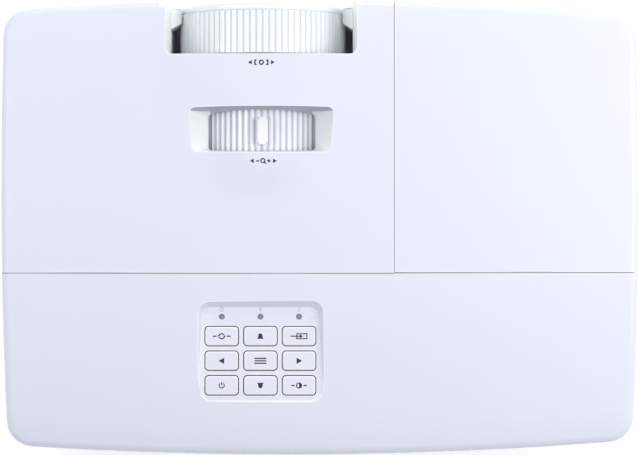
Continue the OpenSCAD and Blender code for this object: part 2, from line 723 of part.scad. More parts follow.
module exhaust_grille() {
  h = grille_z[1] - grille_z[0];
  depth = 5;
  module window(side) {
    translate([grille_x[0] + side, half_d - 24]) square([grille_x[1] - grille_x[0] - 2*side, 60]);
  }
  color("silver") translate([0, 0, grille_z[0]]) {
    difference() {
      linear_extrude(h) intersection() {
        difference() {
          polygon(outline(0.2));
          polygon(outline(depth));
        }
        window(0);
      }
      translate([0, 0, 2]) linear_extrude(h - 4) window(2);
    }
    intersection() {
      linear_extrude(h) intersection() {
        difference() {
          polygon(outline(0.8));
          polygon(outline(depth - 0.5));
        }
        window(1);
      }
      for (x = [grille_x[0] + 3:louvre_pitch:grille_x[1] - 1]) translate([x, half_d - 10, 1])
        rotate([0, 0, 24]) cube([louvre_t, 40, 2*h - 4], center = true);
    }
    translate([0, 0, h/2 - 1]) linear_extrude(2) intersection() {
      difference() {
        polygon(outline(2.6));
        polygon(outline(depth - 0.5));
      }
      window(1);
    }
  }
}

// ---- Focus and zoom ----

focus_rear = bay_y + 0.6;
focus_front = focus_rear + focus_band + focus_rim;
rib_root = focus_r - focus_rib_d;
zoom_root = zoom_r - zoom_rib_d;

// Round wheel outline with shallow grooves between flat-topped ribs
function ribbed(n, r, depth) = [for (k = [0:n - 1]) for (s = [[0, 1], [0.55, 1], [0.7, 0], [0.85, 0]])
  let(a = 360*(k + s[0])/n, q = r - depth*(1 - s[1])) [q*sin(a), q*cos(a)]];

// Round wheel outline with rounded flutes
function fluted(n, r, depth) = [for (k = [0:n - 1]) for (s = [0:5])
  let(a = 360*(k + s/6)/n, q = r - depth*0.5*(1 - cos(60*s))) [q*sin(a), q*cos(a)]];

module focus_ring() {
  bore = barrel_r + run;
  skin = rib_root - 2.3;
  color("white") on_lens_axis() {
    rotate_extrude() polygon([[bore, focus_rear - 6], [bore + 2.4, focus_rear - 6],
      [bore + 2.4, barrel_front - 4], [skin, barrel_front - 1], [skin, focus_rear - 0.2],
      [rib_root, focus_rear - 0.2], [rib_root, focus_front - focus_rim + 0.3],
      [focus_r - 0.3, focus_front - focus_rim + 0.8], [focus_r - 0.3, focus_front - 1],
      [focus_r - 1.3, focus_front], [focus_r - 3, focus_front], [bore + 1.4, barrel_front + 1.2],
      [bore, barrel_front + 1.2]]);
    translate([0, 0, focus_rear]) linear_extrude(focus_band) difference() {
      polygon(ribbed(focus_ribs, focus_r, focus_rib_d));
      circle(r = rib_root - 0.8);
    }
  }
}

module zoom_ring() {
  color("white") on_lens_axis(zoom_y - zoom_len/2) {
    linear_extrude(zoom_len) difference() {
      polygon(fluted(zoom_ribs, zoom_r, zoom_rib_d));
      circle(r = barrel_r + run);
    }
    rotate([0, 0, tab_angle]) translate([0, -zoom_r - tab_h/2 + 0.75, zoom_len/2]) {
      cube([tab_w, tab_h + 1.5, tab_len - 2], center = true);
      cube([tab_w - 1.4, tab_h + 1.3, tab_len], center = true);
    }
  }
}

module lens_barrel() {
  rear = engine_front;
  color("dimgray") on_lens_axis() difference() {
    union() {
      translate([0, 0, rear]) cylinder(r = barrel_r, h = barrel_front - rear);
      translate([0, 0, rear]) cylinder(r = barrel_r + 4, h = 5);
      translate([0, 0, zoom_y - zoom_len/2 - 3.2]) cylinder(r = barrel_r + 2.5, h = 3);
      translate([0, 0, zoom_y + zoom_len/2 + 0.2]) cylinder(r = barrel_r + 2.5, h = 3);
      translate([0, 0, focus_rear - 9.2]) cylinder(r = barrel_r + 2, h = 3);
    }
    translate([0, 0, rear + 8]) cylinder(r = barrel_bore, h = barrel_front);
    translate([0, 0, rear + 3]) cylinder(r = rear_lens_r, h = barrel_front);
    translate([0, 0, rear - 1]) cylinder(r = rear_lens_r - 2, h = barrel_front);
    for (a = [45:90:315]) rotate([0, 0, a]) translate([barrel_r + 1.6, 0, rear - 1]) cylinder(r = 1.3, h = 7);
  }
}

module lens_cell(rear, length, lens_r, seat) {
  on_lens_axis(rear) difference() {
    cylinder(r = barrel_bore - run, h = length);
    translate([0, 0, -1]) cylinder(r = lens_r - 1.5, h = length + 2);
    translate([0, 0, seat]) cylinder(r = lens_r, h = length);
  }
}

// Round glass with two bulging faces, revolved from arcs
module glass(y, r, thick, bulge_rear, bulge_front) {
  edge = r - 0.02;
  function face(bulge, k) = let(curve = (edge*edge + bulge*bulge)/(2*bulge), a = asin(edge/curve)*k/12)
    [curve*sin(a), bulge - curve*(1 - cos(a))];
  on_lens_axis(y) rotate_extrude() polygon(concat(
    [for (k = [0:12]) let(p = face(bulge_rear, k)) [p.x, -p.y]],
    [for (k = [12:-1:0]) let(p = face(bulge_front, k)) [p.x, thick + p.y]]));
}

front_cell_y = barrel_front - 22;
zoom_cell_y = zoom_y - 13;

module front_lens_cell() { color("dimgray") lens_cell(front_cell_y, 20, front_lens_r, 9); }
module zoom_lens_cell() { color("dimgray") lens_cell(zoom_cell_y, 20, zoom_lens_r, 6); }
module front_lens() { color("lightblue") glass(front_cell_y + 9 + 1.6, front_lens_r, 2.4, 1.6, 5); }
module zoom_lens() { color("lightblue") glass(zoom_cell_y + 6 + 1.8, zoom_lens_r, 2.2, 1.8, 3); }
module rear_lens() { color("lightblue") glass(engine_front + 3 + 1.2, rear_lens_r, 1.6, 1.2, 1.8); }

// ---- Optical engine and lamp ----

module on_lamp_axis(x, up = 0) { translate([x, lamp_y, axis_z + up]) rotate([0, 90, 0]) children(); }

module optical_engine() {
  w = cast_wall;
  arm_low = [engine_high.x - w, lamp_y - arm_size/2, axis_z - arm_size/2];
  arm_high = [arm_end, lamp_y + arm_size/2, axis_z + arm_size/2];
  color("silver") difference() {
    union() {
      box(engine_low, engine_high);
      box(arm_low, arm_high);
    }
    box(engine_low + [w, w, w], engine_high - [w, w, w]);
    box(arm_low + [-1, w, w], arm_high - [w, w, w]);
    on_lamp_axis(arm_end - w - 1) cylinder(r = 6, h = w + 2);
    on_lens_axis(engine_front - w - 1) cylinder(r = rear_lens_r, h = w + 2);
    translate([lens_x, engine_low.y - 1, axis_z]) rotate([-90, 0, 0]) linear_extrude(w + 2)
      square([24, 18], center = true);
  }
}

module light_tunnel() {
  color("lightsteelblue") difference() {
    box([engine_high.x + 2, lamp_y - 4.5, axis_z - 3.5], [arm_end - cast_wall, lamp_y + 4.5, axis_z + 3.5]);
    box([engine_high.x + 1, lamp_y - 3.5, axis_z - 2.5], [arm_end, lamp_y + 3.5, axis_z + 2.5]);
  }
  color("dimgray") difference() {
    box([engine_high.x + 10, lamp_y - 10, axis_z - arm_size/2 + cast_wall],
      [engine_high.x + 14, lamp_y + 10, axis_z + 8]);
    box([engine_high.x + 9, lamp_y - 4.5, axis_z - 3.5], [engine_high.x + 15, lamp_y + 4.5, axis_z + 3.5]);
  }
}

module colour_wheel() {
  color("lightcyan") on_lamp_axis(wheel_x, wheel_up) difference() {
    union() {
      cylinder(r = wheel_r, h = 1.1);
      cylinder(r = 7, h = 2.4);
    }
    translate([0, 0, -1]) cylinder(r = 1.5 + run, h = 5);
  }
}

module colour_wheel_motor() {
  motor_x = wheel_x + 3;
  plate_x = wheel_x + 10;
  color("silver") {
    on_lamp_axis(motor_x, wheel_up) cylinder(r = 8, h = plate_x - motor_x);
    on_lamp_axis(wheel_x - 1, wheel_up) cylinder(r = 1.5, h = 6);
    difference() {
      box([plate_x, lamp_y - 15, axis_z - 14], [plate_x + 2, lamp_y + 15, wheel_z + 8]);
      on_lamp_axis(plate_x - 1) cylinder(r = 5, h = 4);
    }
    for (s = [-1, 1]) translate([arm_end, lamp_y + s*13.5 - 1.5, axis_z - 14])
      cube([plate_x - arm_end + eps, 3, 9]);
  }
}

module mirror_board() {
  y = engine_low.y;
  color("darkgreen") box([lens_x - 30, y - board_t, axis_z - 20], [lens_x + 30, y, engine_high.z + 2]);
  color("dimgray") box([lens_x - 11, y, axis_z - 8], [lens_x + 11, y + 4, axis_z + 8]);
}

module mirror_heat_sink() {
  y = engine_low.y - board_t;
  left = lens_x - 22;
  low = axis_z - 16;
  high = axis_z + 18;
  base = 3;
  fin_t = 1.2;
  fin_pitch = 4.28;
  color("silver") {
    box([left, y - base, low], [lens_x + 22, y, high]);
    for (x = [left:fin_pitch:lens_x + 22 - fin_t + eps])
      box([x, y - base - 16, low], [x + fin_t, y - base + 0.1, high]);
  }
}

module lamp_housing() {
  w = cast_wall - 0.5;
  color("gray") difference() {
    box(lamp_low, lamp_high);
    box(lamp_low + [w, w, w], lamp_high - [w, w, w]);
    on_lamp_axis(lamp_low.x - 1) cylinder(r = reflector_r - 3, h = w + 2);
    for (z = [22:8:lamp_high.z - 8])
      box([lamp_low.x + 12, lamp_low.y - 1, z], [lamp_high.x - 12, lamp_low.y + w + 1, z + 4]);
    for (z = [30:8:lamp_high.z - 8])
      box([lamp_low.x + 12, lamp_high.y - w - 1, z], [lamp_high.x - 12, lamp_high.y + 1, z + 4]);
  }
}

module lamp_reflector() {
  x = lamp_low.x + cast_wall - 0.5;
  depth = 0.47*lamp_w;
  glass_t = 2.2;
  steps = 12;
  back_angle = 78;
  function bowl(grow) = [for (k = [0:steps]) let(a = back_angle*k/steps)
    [(reflector_r + grow)*cos(a), (depth + grow)*sin(a)]];
  color("lightgray") on_lamp_axis(x) {
    difference() {
      rotate_extrude() polygon(concat([[0, 0]], bowl(0), [[0, depth*sin(back_angle)]]));
      rotate_extrude() polygon(concat([[0, -1], [reflector_r - glass_t, -1]], bowl(-glass_t),
        [[0, depth*sin(back_angle) - 4]]));
      translate([0, 0, depth/2]) cylinder(r = 4, h = depth);
    }
    difference() {
      translate([-reflector_r - 2, -reflector_r - 2, 0]) cube([2*reflector_r + 4, 2*reflector_r + 4, 2]);
      translate([0, 0, -1]) cylinder(r = reflector_r - glass_t, h = 4);
    }
  }
}

module lamp_burner() {
  x = lamp_low.x + cast_wall - 0.5;
  color("whitesmoke") on_lamp_axis(x) {
    translate([0, 0, 0.18*lamp_w]) cylinder(r = 2, h = lamp_w/2);
    translate([0, 0, 0.28*lamp_w]) sphere(r = 4.5);
    translate([0, 0, 0.46*lamp_w]) cylinder(r = 3.9, h = lamp_w/4);
    translate([0, 0, 0.59*lamp_w]) cylinder(r = 7, h = 9);
  }
}

module lamp_ballast() {
  low = [lamp_high.x + 5, lamp_low.y + 2, 12];
  face = low.x + board_t;
  color("darkgreen") box(low, [face, low.y + 80, 56]);
  color("goldenrod") box([face, low.y + 18, 18], [low.x + 14, low.y + 44, 44]);
  color("dimgray") {
    for (y = [54, 66]) translate([face, low.y + y, 26]) rotate([0, 90, 0]) cylinder(r = 5, h = 14);
    box([face, low.y + 4, 16], [low.x + 9, low.y + 14, 30]);
    for (y = [2, 72]) box([low.x - 0.4, low.y + y, inner_floor], [low.x + 6, low.y + y + 6, low.z]);
  }
}

// ---- Fans ----

module at_fan() { translate([fan_x, fan_rear, fan_z]) rotate([-90, 0, 0]) children(); }

module exhaust_fan_frame() {
  r = fan_size/2 - 1.5;
  color("dimgray") at_fan() {
    difference() {
      linear_extrude(fan_depth) rounded_rect(fan_size, fan_size, 3);
      translate([0, 0, -1]) cylinder(r = r, h = fan_depth + 2);
      for (x = [-1, 1], y = [-1, 1]) translate([x*(fan_size/2 - 5), y*(fan_size/2 - 5), -1])
        cylinder(r = 2.1, h = fan_depth + 2);
    }
    cylinder(r = 12.5, h = 1.6);
    for (a = [45:90:315]) rotate([0, 0, a]) translate([11, -1.2, 0]) cube([r - 10, 2.4, 1.6]);
    cylinder(r = 1.5, h = fan_depth - 2);
  }
}

module exhaust_fan_rotor() {
  hub = 12;
  tip = fan_size/2 - 2.3;
  color("black") at_fan() {
    difference() {
      translate([0, 0, 2.2]) cylinder(r = hub, h = fan_depth - 3);
      translate([0, 0, 1]) cylinder(r = 1.5 + run, h = fan_depth);
      translate([0, 0, 1]) ring(hub - 1.5, 4, fan_depth - 4);
    }
    intersection() {
      translate([0, 0, 2.8]) ring(tip, hub - 0.6, fan_depth - 4.2);
      for (k = [0:fan_blades - 1]) rotate([0, 0, 360*k/fan_blades])
        translate([fan_size/3, 0, fan_depth/2 + 1]) rotate([52, 0, 0])
          cube([fan_size/2, 1.3, fan_depth + 8], center = true);
    }
  }
}

blower_at = [fan_x - 10, fan_rear - 19, inner_floor + 0.3];

module lamp_blower_housing() {
  r = blower_size/2 - 1.6;
  color("dimgray") translate(blower_at) {
    difference() {
      linear_extrude(blower_h) rounded_rect(blower_size, blower_size, 4);
      translate([0, 0, 1.6]) cylinder(r = r, h = blower_h - 3.2);
      translate([0, 0, 3]) cylinder(r = r - 4, h = blower_h);
      translate([-r, -blower_size, 1.6]) cube([r, blower_size, blower_h - 3.2]);
    }
    cylinder(r = 1.5, h = blower_h - 3);
    for (x = [-1, 1], y = [-1, 1]) translate([x*(blower_size/2 - 5), y*(blower_size/2 - 5), -0.3])
      cylinder(r = 2, h = 0.4);
  }
}

module lamp_blower_rotor() {
  tip = blower_size/2 - 2.4;
  color("black") translate(blower_at + [0, 0, 2]) {
    difference() {
      cylinder(r = 8, h = blower_h - 5);
      translate([0, 0, -1]) cylinder(r = 1.5 + run, h = blower_h);
    }
    ring(tip, 7.5, 1);
    for (k = [0:blower_blades - 1]) rotate([0, 0, 360*k/blower_blades])
      translate([tip - 4.6, 0, 0.5]) rotate([0, 0, 30]) cube([4.6, 0.9, blower_h - 6]);
  }
}

// ---- Boards ----

// Box on a board: place and size as shares of the board, height in millimetres
module part_on(low, high, at, size, h) {
  translate([low.x + at.x*(high.x - low.x), low.y + at.y*(high.y - low.y), high.z])
    cube([size.x*(high.x - low.x), size.y*(high.y - low.y), h]);
}

// Upright round part on a board
module can_on(low, high, at, r, h) {
  translate([low.x + at.x*(high.x - low.x), low.y + at.y*(high.y - low.y), high.z]) cylinder(r = r, h = h);
}

module board(low, high, places) {
  difference() {
    box(low, high);
    for (p = places) translate([p.x, p.y, low.z - 1]) cylinder(r = 1.6, h = board_t + 2);
  }
}

module main_board() { color("darkgreen") board(main_low, main_high, main_places); }
module power_board() { color("peru") board(power_low, power_high, power_places); }

// Heat sink with upright fins along Y
module fins_on(low, high, at, size, h, count) {
  part_on(low, high, at, size, 1.6);
  fin = 0.05*size.x;
  for (k = [0:count - 1]) part_on(low, high, [at.x + k*(size.x - fin)/(count - 1), at.y], [fin, size.y], h);
}

module main_board_parts() {
  color("black") {
    part_on(main_low, main_high, [0.28, 0.39], [0.133, 0.48], 2);
    part_on(main_low, main_high, [0.47, 0.43], [0.072, 0.31], 1.4);
    part_on(main_low, main_high, [0.58, 0.39], [0.062, 0.44], 1.2);
    part_on(main_low, main_high, [0.06, 0.56], [0.1, 0.22], 5);
    for (k = [0:4]) can_on(main_low, main_high, [0.73 + k*0.046, 0.78], 3.2, 9);
  }
  color("silver") {
    translate([0, 0, 2]) fins_on(main_low, main_high, [0.29, 0.43], [0.113, 0.4], 7.4, 7);
    part_on(main_low, main_high, [0.75, 0.39], [0.16, 0.22], 7);
  }
}

module power_board_parts() {
  color("gold") {
    part_on(power_low, power_high, [0.36, 0.47], [0.5, 0.25], 26);
    part_on(power_low, power_high, [0.21, 0.08], [0.39, 0.156], 20);
  }
  color("dimgray") {
    for (y = [0.344, 0.81]) can_on(power_low, power_high, [0.214, y], 9, 30);
    for (k = [0:3]) can_on(power_low, power_high, [0.78 + (k%2)*0.125, 0.81 + floor(k/2)*0.07], 3, 14);
    can_on(power_low, power_high, [0.82, 0.17], 7, 11);
  }
  color("silver") {
    part_on(power_low, power_high, [0.46, 0.31], [0.46, 0.024], 28);
    for (k = [0:4]) part_on(power_low, power_high, [0.46 + k*0.107, 0.333], [0.029, 0.056], 28);
  }
}

module keypad_board() {
  color("darkgreen") difference() {
    translate([keypad_x, keypad_y, key_board_top - board_t]) linear_extrude(board_t)
      rounded_rect(keypad_w + 3.7, keypad_d + 1.5, 2);
    for (p = key_posts) translate([p.x, p.y, 0]) cylinder(r = 1.1, h = case_top);
  }
}

module keypad_switches() {
  color("dimgray") key_places() {
    translate([-3, -3, key_board_top]) cube([6, 6, switch_top - key_board_top - 0.5]);
    translate([0, 0, switch_top - 0.6]) cylinder(r = 1.7, h = 0.6);
  }
}

module light_pipes() {
  color("azure") for (p = led_places) {
    translate([p.x, p.y, key_board_top]) cylinder(d = led_d, h = keypad_floor - key_board_top + 0.2);
    translate([p.x, p.y, key_board_top]) cylinder(d = led_d + 1.5, h = key_floor_low - key_board_top);
  }
}

// A key with a bevelled cap, a flange that holds it under the floor, and a stem
module key_at(k) {
  flange = 0.9;
  travel_gap = 0.1;
  bevel = 0.45;
  low = key_floor_low - travel_gap;
  column = k%3 - 1;
  row = 1 - floor(k/3);
  color("white") translate([keypad_x + column*key_pitch_x, key_mid_y + row*key_pitch_y, 0]) {
    hull() {
      translate([0, 0, key_top - eps]) linear_extrude(eps)
        rounded_rect(key_w - 2*bevel, key_d - 2*bevel, key_r - bevel, $fn = 24);
      translate([0, 0, low - eps]) linear_extrude(key_rise + wall - 0.3)
        rounded_rect(key_w, key_d, key_r, $fn = 24);
    }
    translate([0, 0, low - flange]) linear_extrude(flange)
      rounded_rect(key_w + 1.6, key_d + 1.6, key_r);
    translate([0, 0, switch_top + key_travel + travel_gap])
      cylinder(r = 1.5, h = low - switch_top - key_travel - 0.5 + travel_gap);
  }
}

// ---- Sockets ----

module mains_inlet() {
  depth = 20;
  flange = 3;
  color("black") difference() {
    union() {
      at_panel(inlet_x, inlet_z, panel_y + depth) linear_extrude(depth + 1)
        rounded_rect(inlet_size.x, inlet_size.y, 2);
      at_panel(inlet_x, inlet_z) linear_extrude(2)
        rounded_rect(inlet_size.x + flange, inlet_size.y + flange, 3);
    }
    at_panel(inlet_x, inlet_z, panel_y + 15) linear_extrude(30) offset(1.5)
      polygon([[-10.5, 6.3], [10.5, 6.3], [10.5, -2.5], [6.5, -6.3], [-6.5, -6.3], [-10.5, -2.5]]);
  }
  color("silver") for (p = [[-7, -1], [0, 2.5], [7, -1]])
    at_panel(inlet_x + p.x, inlet_z + p.y, panel_y + 16) linear_extrude(14) square([1.9, 4], center = true);
}

module d_socket(x) {
  length = 6.2;
  at_panel(x, jack_z, panel_y + panel_t + 0.05) {
    translate([0, 0, -10]) linear_extrude(9.9) square([30, 12.6], center = true);
    translate([0, 0, -0.2]) linear_extrude(length) d_shape(plug_size.x, plug_size.y, 2);
    for (s = [-1, 1]) translate([s*nut_x, 0, -0.2]) cylinder(r = nut_r, h = length, $fn = 6);
  }
}

module vga_sockets() { color("royalblue") for (x = vga_places) d_socket(x); }
module serial_socket() { color("lightgray") d_socket(serial_x); }

module hdmi_socket() {
  mouth = [[-6.3, 1.7], [6.3, 1.7], [6.3, -0.6], [5.2, -1.7], [-5.2, -1.7], [-6.3, -0.6]];
  color("silver") at_panel(hdmi_x, hdmi_z, panel_y + 13) difference() {
    linear_extrude(13.8) square(hdmi_size, center = true);
    translate([0, 0, 5]) linear_extrude(12) offset(0.6) polygon(mouth);
  }
  color("black") at_panel(hdmi_x, hdmi_z, panel_y + 8.2) linear_extrude(7.4)
    square([10.5, 1.4], center = true);
}

module usb_socket() {
  shell = 0.5;
  color("silver") at_panel(usb_x, usb_z, panel_y + 11) difference() {
    linear_extrude(11.6) square(usb_size, center = true);
    translate([0, 0, 4]) linear_extrude(12)
      square([usb_size.x - 2*shell, usb_size.y - 2*shell], center = true);
  }
  color("black") at_panel(usb_x, usb_z, panel_y + 7.2) linear_extrude(6) square([5, 1], center = true);
}

module round_jack(x, z, r, bore, body_w, body_h) {
  at_panel(x, z, panel_y + 14) difference() {
    union() {
      translate([-body_w/2, socket_z - z, 0]) cube([body_w, body_h, 11.6]);
      cylinder(r = r, h = 15);
    }
    translate([0, 0, 4]) cylinder(r = bore, h = 20);
  }
}

module s_video_socket() { color("black") round_jack(s_video_x, jack_z, s_video_r, 4.2, 13, 12); }
module composite_socket() { color("gold") round_jack(composite_x, jack_z, composite_r, 1.6, 10, 11); }
module audio_sockets() {
  color("lightgreen") for (x = audio_places) round_jack(x, jack_z - 2, audio_r, 1.8, 9, 9);
}

module speaker() {
  x = -half_w + wall + 1.2;
  y = half_d - 35.5;
  color("dimgray") translate([x, y, 28]) rotate([0, 90, 0]) {
    difference() {
      translate([-15, -15, 0]) cube([30, 30, 2]);
      translate([0, 0, -1]) cylinder(r = 12.5, h = 4);
    }
    difference() {
      cylinder(r1 = 13, r2 = 8, h = 8, $fn = 64);
      translate([0, 0, -eps]) cylinder(r1 = 12, r2 = 5, h = 6, $fn = 64);
    }
    translate([0, 0, 8 - eps]) cylinder(r = 9, h = 4);
  }
  color("dimgray") box([x + 2, y - 6, inner_floor], [x + 4, y + 6, 20]);
}

// ---- Feet and fasteners ----

// Rubber disc that the foot screw turns in
module foot_pad(x, y) {
  color("dimgray") translate([x, y, 0]) difference() {
    cylinder(r = pad_r, h = pad_h);
    translate([0, 0, pad_h - 1.2]) cylinder(r = stud_r + run, h = 5);
  }
}

// Foot screw with the knurled wheel that turns it
module foot_stud(x, y, length) {
  color("silver") translate([x, y, 0]) {
    translate([0, 0, pad_h - 1]) cylinder(r = stud_r, h = length + foot_h - pad_h + 1);
    translate([0, 0, pad_h + 0.1]) linear_extrude(foot_h - pad_h - 0.3)
      polygon([for (k = [0:71]) let(a = 5*k, q = pad_r - (k%2)*0.5) [q*cos(a), q*sin(a)]]);
  }
}

module front_foot_pad() { foot_pad(front_foot_x, front_foot_y); }
module rear_foot_pad() { foot_pad(rear_foot_x, rear_foot_y); }
module front_foot_stud() { foot_stud(front_foot_x, front_foot_y, front_stud); }
module rear_foot_stud() { foot_stud(rear_foot_x, rear_foot_y, rear_stud); }

module fixed_foot() {
  color("dimgray") translate([-rear_foot_x, rear_foot_y, 0]) {
    cylinder(r1 = pad_r - 1, r2 = pad_r, h = foot_h, $fn = 64);
    cylinder(r = 2.4, h = inner_floor + 1);
    translate([0, 0, inner_floor]) cylinder(r = 3.4, h = 1.2);
  }
}

module ceiling_inserts() {
  color("goldenrod") for (p = insert_places) translate([p.x, p.y, foot_h + 0.1])
    ring(insert_r - 0.02, insert_bore, insert_len - 0.1);
}

module case_screws() {
  head_h = 2.2;
  color("silver") for (p = concat(screw_places, [cover_screw])) translate([p.x, p.y, screw_seat]) {
    translate([0, 0, -head_h]) cylinder(r = head_r, h = head_h);
    translate([0, 0, -eps]) cylinder(r = screw_r, h = screw_len);
  }
}

// ---- Assembly ----

upper_case();
lower_case();
lamp_cover();
rear_panel();
exhaust_grille();
ir_window();
focus_ring();
zoom_ring();
lens_barrel();
front_lens_cell();
front_lens();
zoom_lens_cell();
zoom_lens();
rear_lens();
optical_engine();
light_tunnel();
colour_wheel();
colour_wheel_motor();
mirror_board();
mirror_heat_sink();
lamp_housing();
lamp_reflector();
lamp_burner();
lamp_ballast();
exhaust_fan_frame();
exhaust_fan_rotor();
lamp_blower_housing();
lamp_blower_rotor();
main_board();
main_board_parts();
power_board();
power_board_parts();
mains_inlet();
vga_sockets();
serial_socket();
hdmi_socket();
usb_socket();
s_video_socket();
composite_socket();
audio_sockets();
speaker();
keypad_board();
keypad_switches();
light_pipes();
front_foot_pad();
front_foot_stud();
rear_foot_pad();
rear_foot_stud();
fixed_foot();
ceiling_inserts();
case_screws();
for (k = [0:8]) key_at(k);
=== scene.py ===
"""Looks of the table-top data projector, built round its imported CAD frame.

Everything is in metres and in the frame of the CAD: +X is the user's right, +Y is towards the
lens, +Z is up, and the origin lies on the table under the middle of the case.
"""

from __future__ import annotations

import json
import logging
import math
from dataclasses import dataclass, fields
from enum import Enum
from typing import Callable, Iterable, Sequence

import bpy
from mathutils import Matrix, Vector
from mathutils.bvhtree import BVHTree
from mathutils.geometry import tessellate_polygon

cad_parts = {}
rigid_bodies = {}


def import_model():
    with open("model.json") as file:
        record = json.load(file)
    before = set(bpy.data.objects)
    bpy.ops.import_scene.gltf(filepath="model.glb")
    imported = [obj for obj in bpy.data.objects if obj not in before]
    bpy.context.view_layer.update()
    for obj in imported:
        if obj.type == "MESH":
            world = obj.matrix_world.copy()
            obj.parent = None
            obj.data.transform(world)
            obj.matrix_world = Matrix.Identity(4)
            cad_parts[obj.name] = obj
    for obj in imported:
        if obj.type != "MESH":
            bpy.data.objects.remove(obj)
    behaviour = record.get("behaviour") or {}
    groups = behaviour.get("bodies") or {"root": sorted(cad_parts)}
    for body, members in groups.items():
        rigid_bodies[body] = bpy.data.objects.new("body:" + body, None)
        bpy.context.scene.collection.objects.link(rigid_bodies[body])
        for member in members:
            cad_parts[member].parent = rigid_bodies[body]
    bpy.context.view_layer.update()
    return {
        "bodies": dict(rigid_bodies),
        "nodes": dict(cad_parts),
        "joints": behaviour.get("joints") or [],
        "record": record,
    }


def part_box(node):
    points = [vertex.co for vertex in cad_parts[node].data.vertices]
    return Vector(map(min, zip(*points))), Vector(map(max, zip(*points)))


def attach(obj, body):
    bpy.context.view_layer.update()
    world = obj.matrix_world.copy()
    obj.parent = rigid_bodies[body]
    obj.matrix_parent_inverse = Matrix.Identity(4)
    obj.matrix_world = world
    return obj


LOG = logging.getLogger("projector")
MM = 0.001
Point = tuple[float, float, float]
Flat = tuple[float, float]
Colour = tuple[float, float, float]
Socket = bpy.types.NodeSocket


# ---- Sizes shared with the CAD, in millimetres ----


@dataclass(frozen=True)
class CaseForm:
    """Crowned top of the case and the gaps in it, as the CAD defines them.

    Args:
        Each field repeats a CAD value, in millimetres or as a share.
    """

    half_w: float = 157.5
    half_d: float = 112.2
    case_top: float = 90.4
    crown: float = 4.6
    front_drop: float = 3.0
    rear_drop: float = 6.0
    rear_lean: float = 0.3
    crease_y: float = -22.6
    crease_gap: float = 0.6
    hump_h: float = 3.2
    hump_r: float = 33.0
    hump_flare: float = 0.75
    hump_blend: float = 22.0
    hump_end_y: float = 11.0
    lens_x: float = -29.0
    seam_x: float = 36.1
    seam_gap: float = 0.4
    keypad_floor: float = 86.3
    vga_inset: float = 15.0

    def hump(self, x: float, y: float) -> float:
        """Height of the soft rise over the lens.

        Args:
            x: Place across the case.
            y: Place along the case.

        Returns:
            The rise in millimetres.
        """
        hump_y = self.hump_end_y + self.hump_r
        flare = self.hump_flare * max(y - hump_y, 0.0)
        d = math.hypot(x - self.lens_x, min(y - hump_y, 0.0))
        u = min(max((self.hump_r + flare - d) / (self.hump_blend + flare), 0.0), 1.0)
        return self.hump_h * u * u * (3 - 2 * u)

    def top(self, x: float, y: float) -> float:
        """Height of the top surface without its crease.

        Args:
            x: Place across the case.
            y: Place along the case.

        Returns:
            The height in millimetres.
        """
        if y > self.crease_y:
            f = (y - self.crease_y) / (self.half_d - self.crease_y)
            drop = self.front_drop * f * f
        else:
            r = (self.crease_y - y) / (self.half_d + self.crease_y)
            drop = self.rear_drop * (self.rear_lean * r + (1 - self.rear_lean) * r * r)
        return self.case_top - self.crown * (x / self.half_w) ** 2 - drop + self.hump(x, y)


FORM = CaseForm()


def in_mm(box: tuple[Vector, Vector]) -> tuple[Vector, Vector]:
    """Turns the corners of a box from metres to millimetres.

    Args:
        box: Lowest and highest corner in metres.

    Returns:
        The corners in millimetres.
    """
    low, high = (Vector(corner) / MM for corner in box)
    return low, high


# ---- Materials ----


WHITE: Colour = (1.0, 1.0, 1.0)
LENS_AXIS: Point = (-0.029, 0.0, 0.0499)
# Samples of the nodes that round edges
EDGE_SAMPLES = 6
# Radius of the painted highlight along moulded edges, in metres
PAINTED_HIGHLIGHT_RADIUS = 0.0009
# Cosine between rounded and flat normal where that painted highlight starts, and where it is full
PAINTED_HIGHLIGHT_FACING = (0.9995, 0.985)
# Blotches and roughness patches per metre
BLOTCH_SCALE = 38
PATCH_SCALE = 900
# Limits between which nearly all noise values lie
NOISE_RANGE = (0.3, 0.7)
# How far the roughness strays from its mean
ROUGH_SPREAD = 0.05
# Upward part of the normal where a face still counts as level, and where it is a wall
STEEP = (0.97, 0.93)
# Depth of the relief on smooth surfaces, in metres
SMOOTH = 5e-7


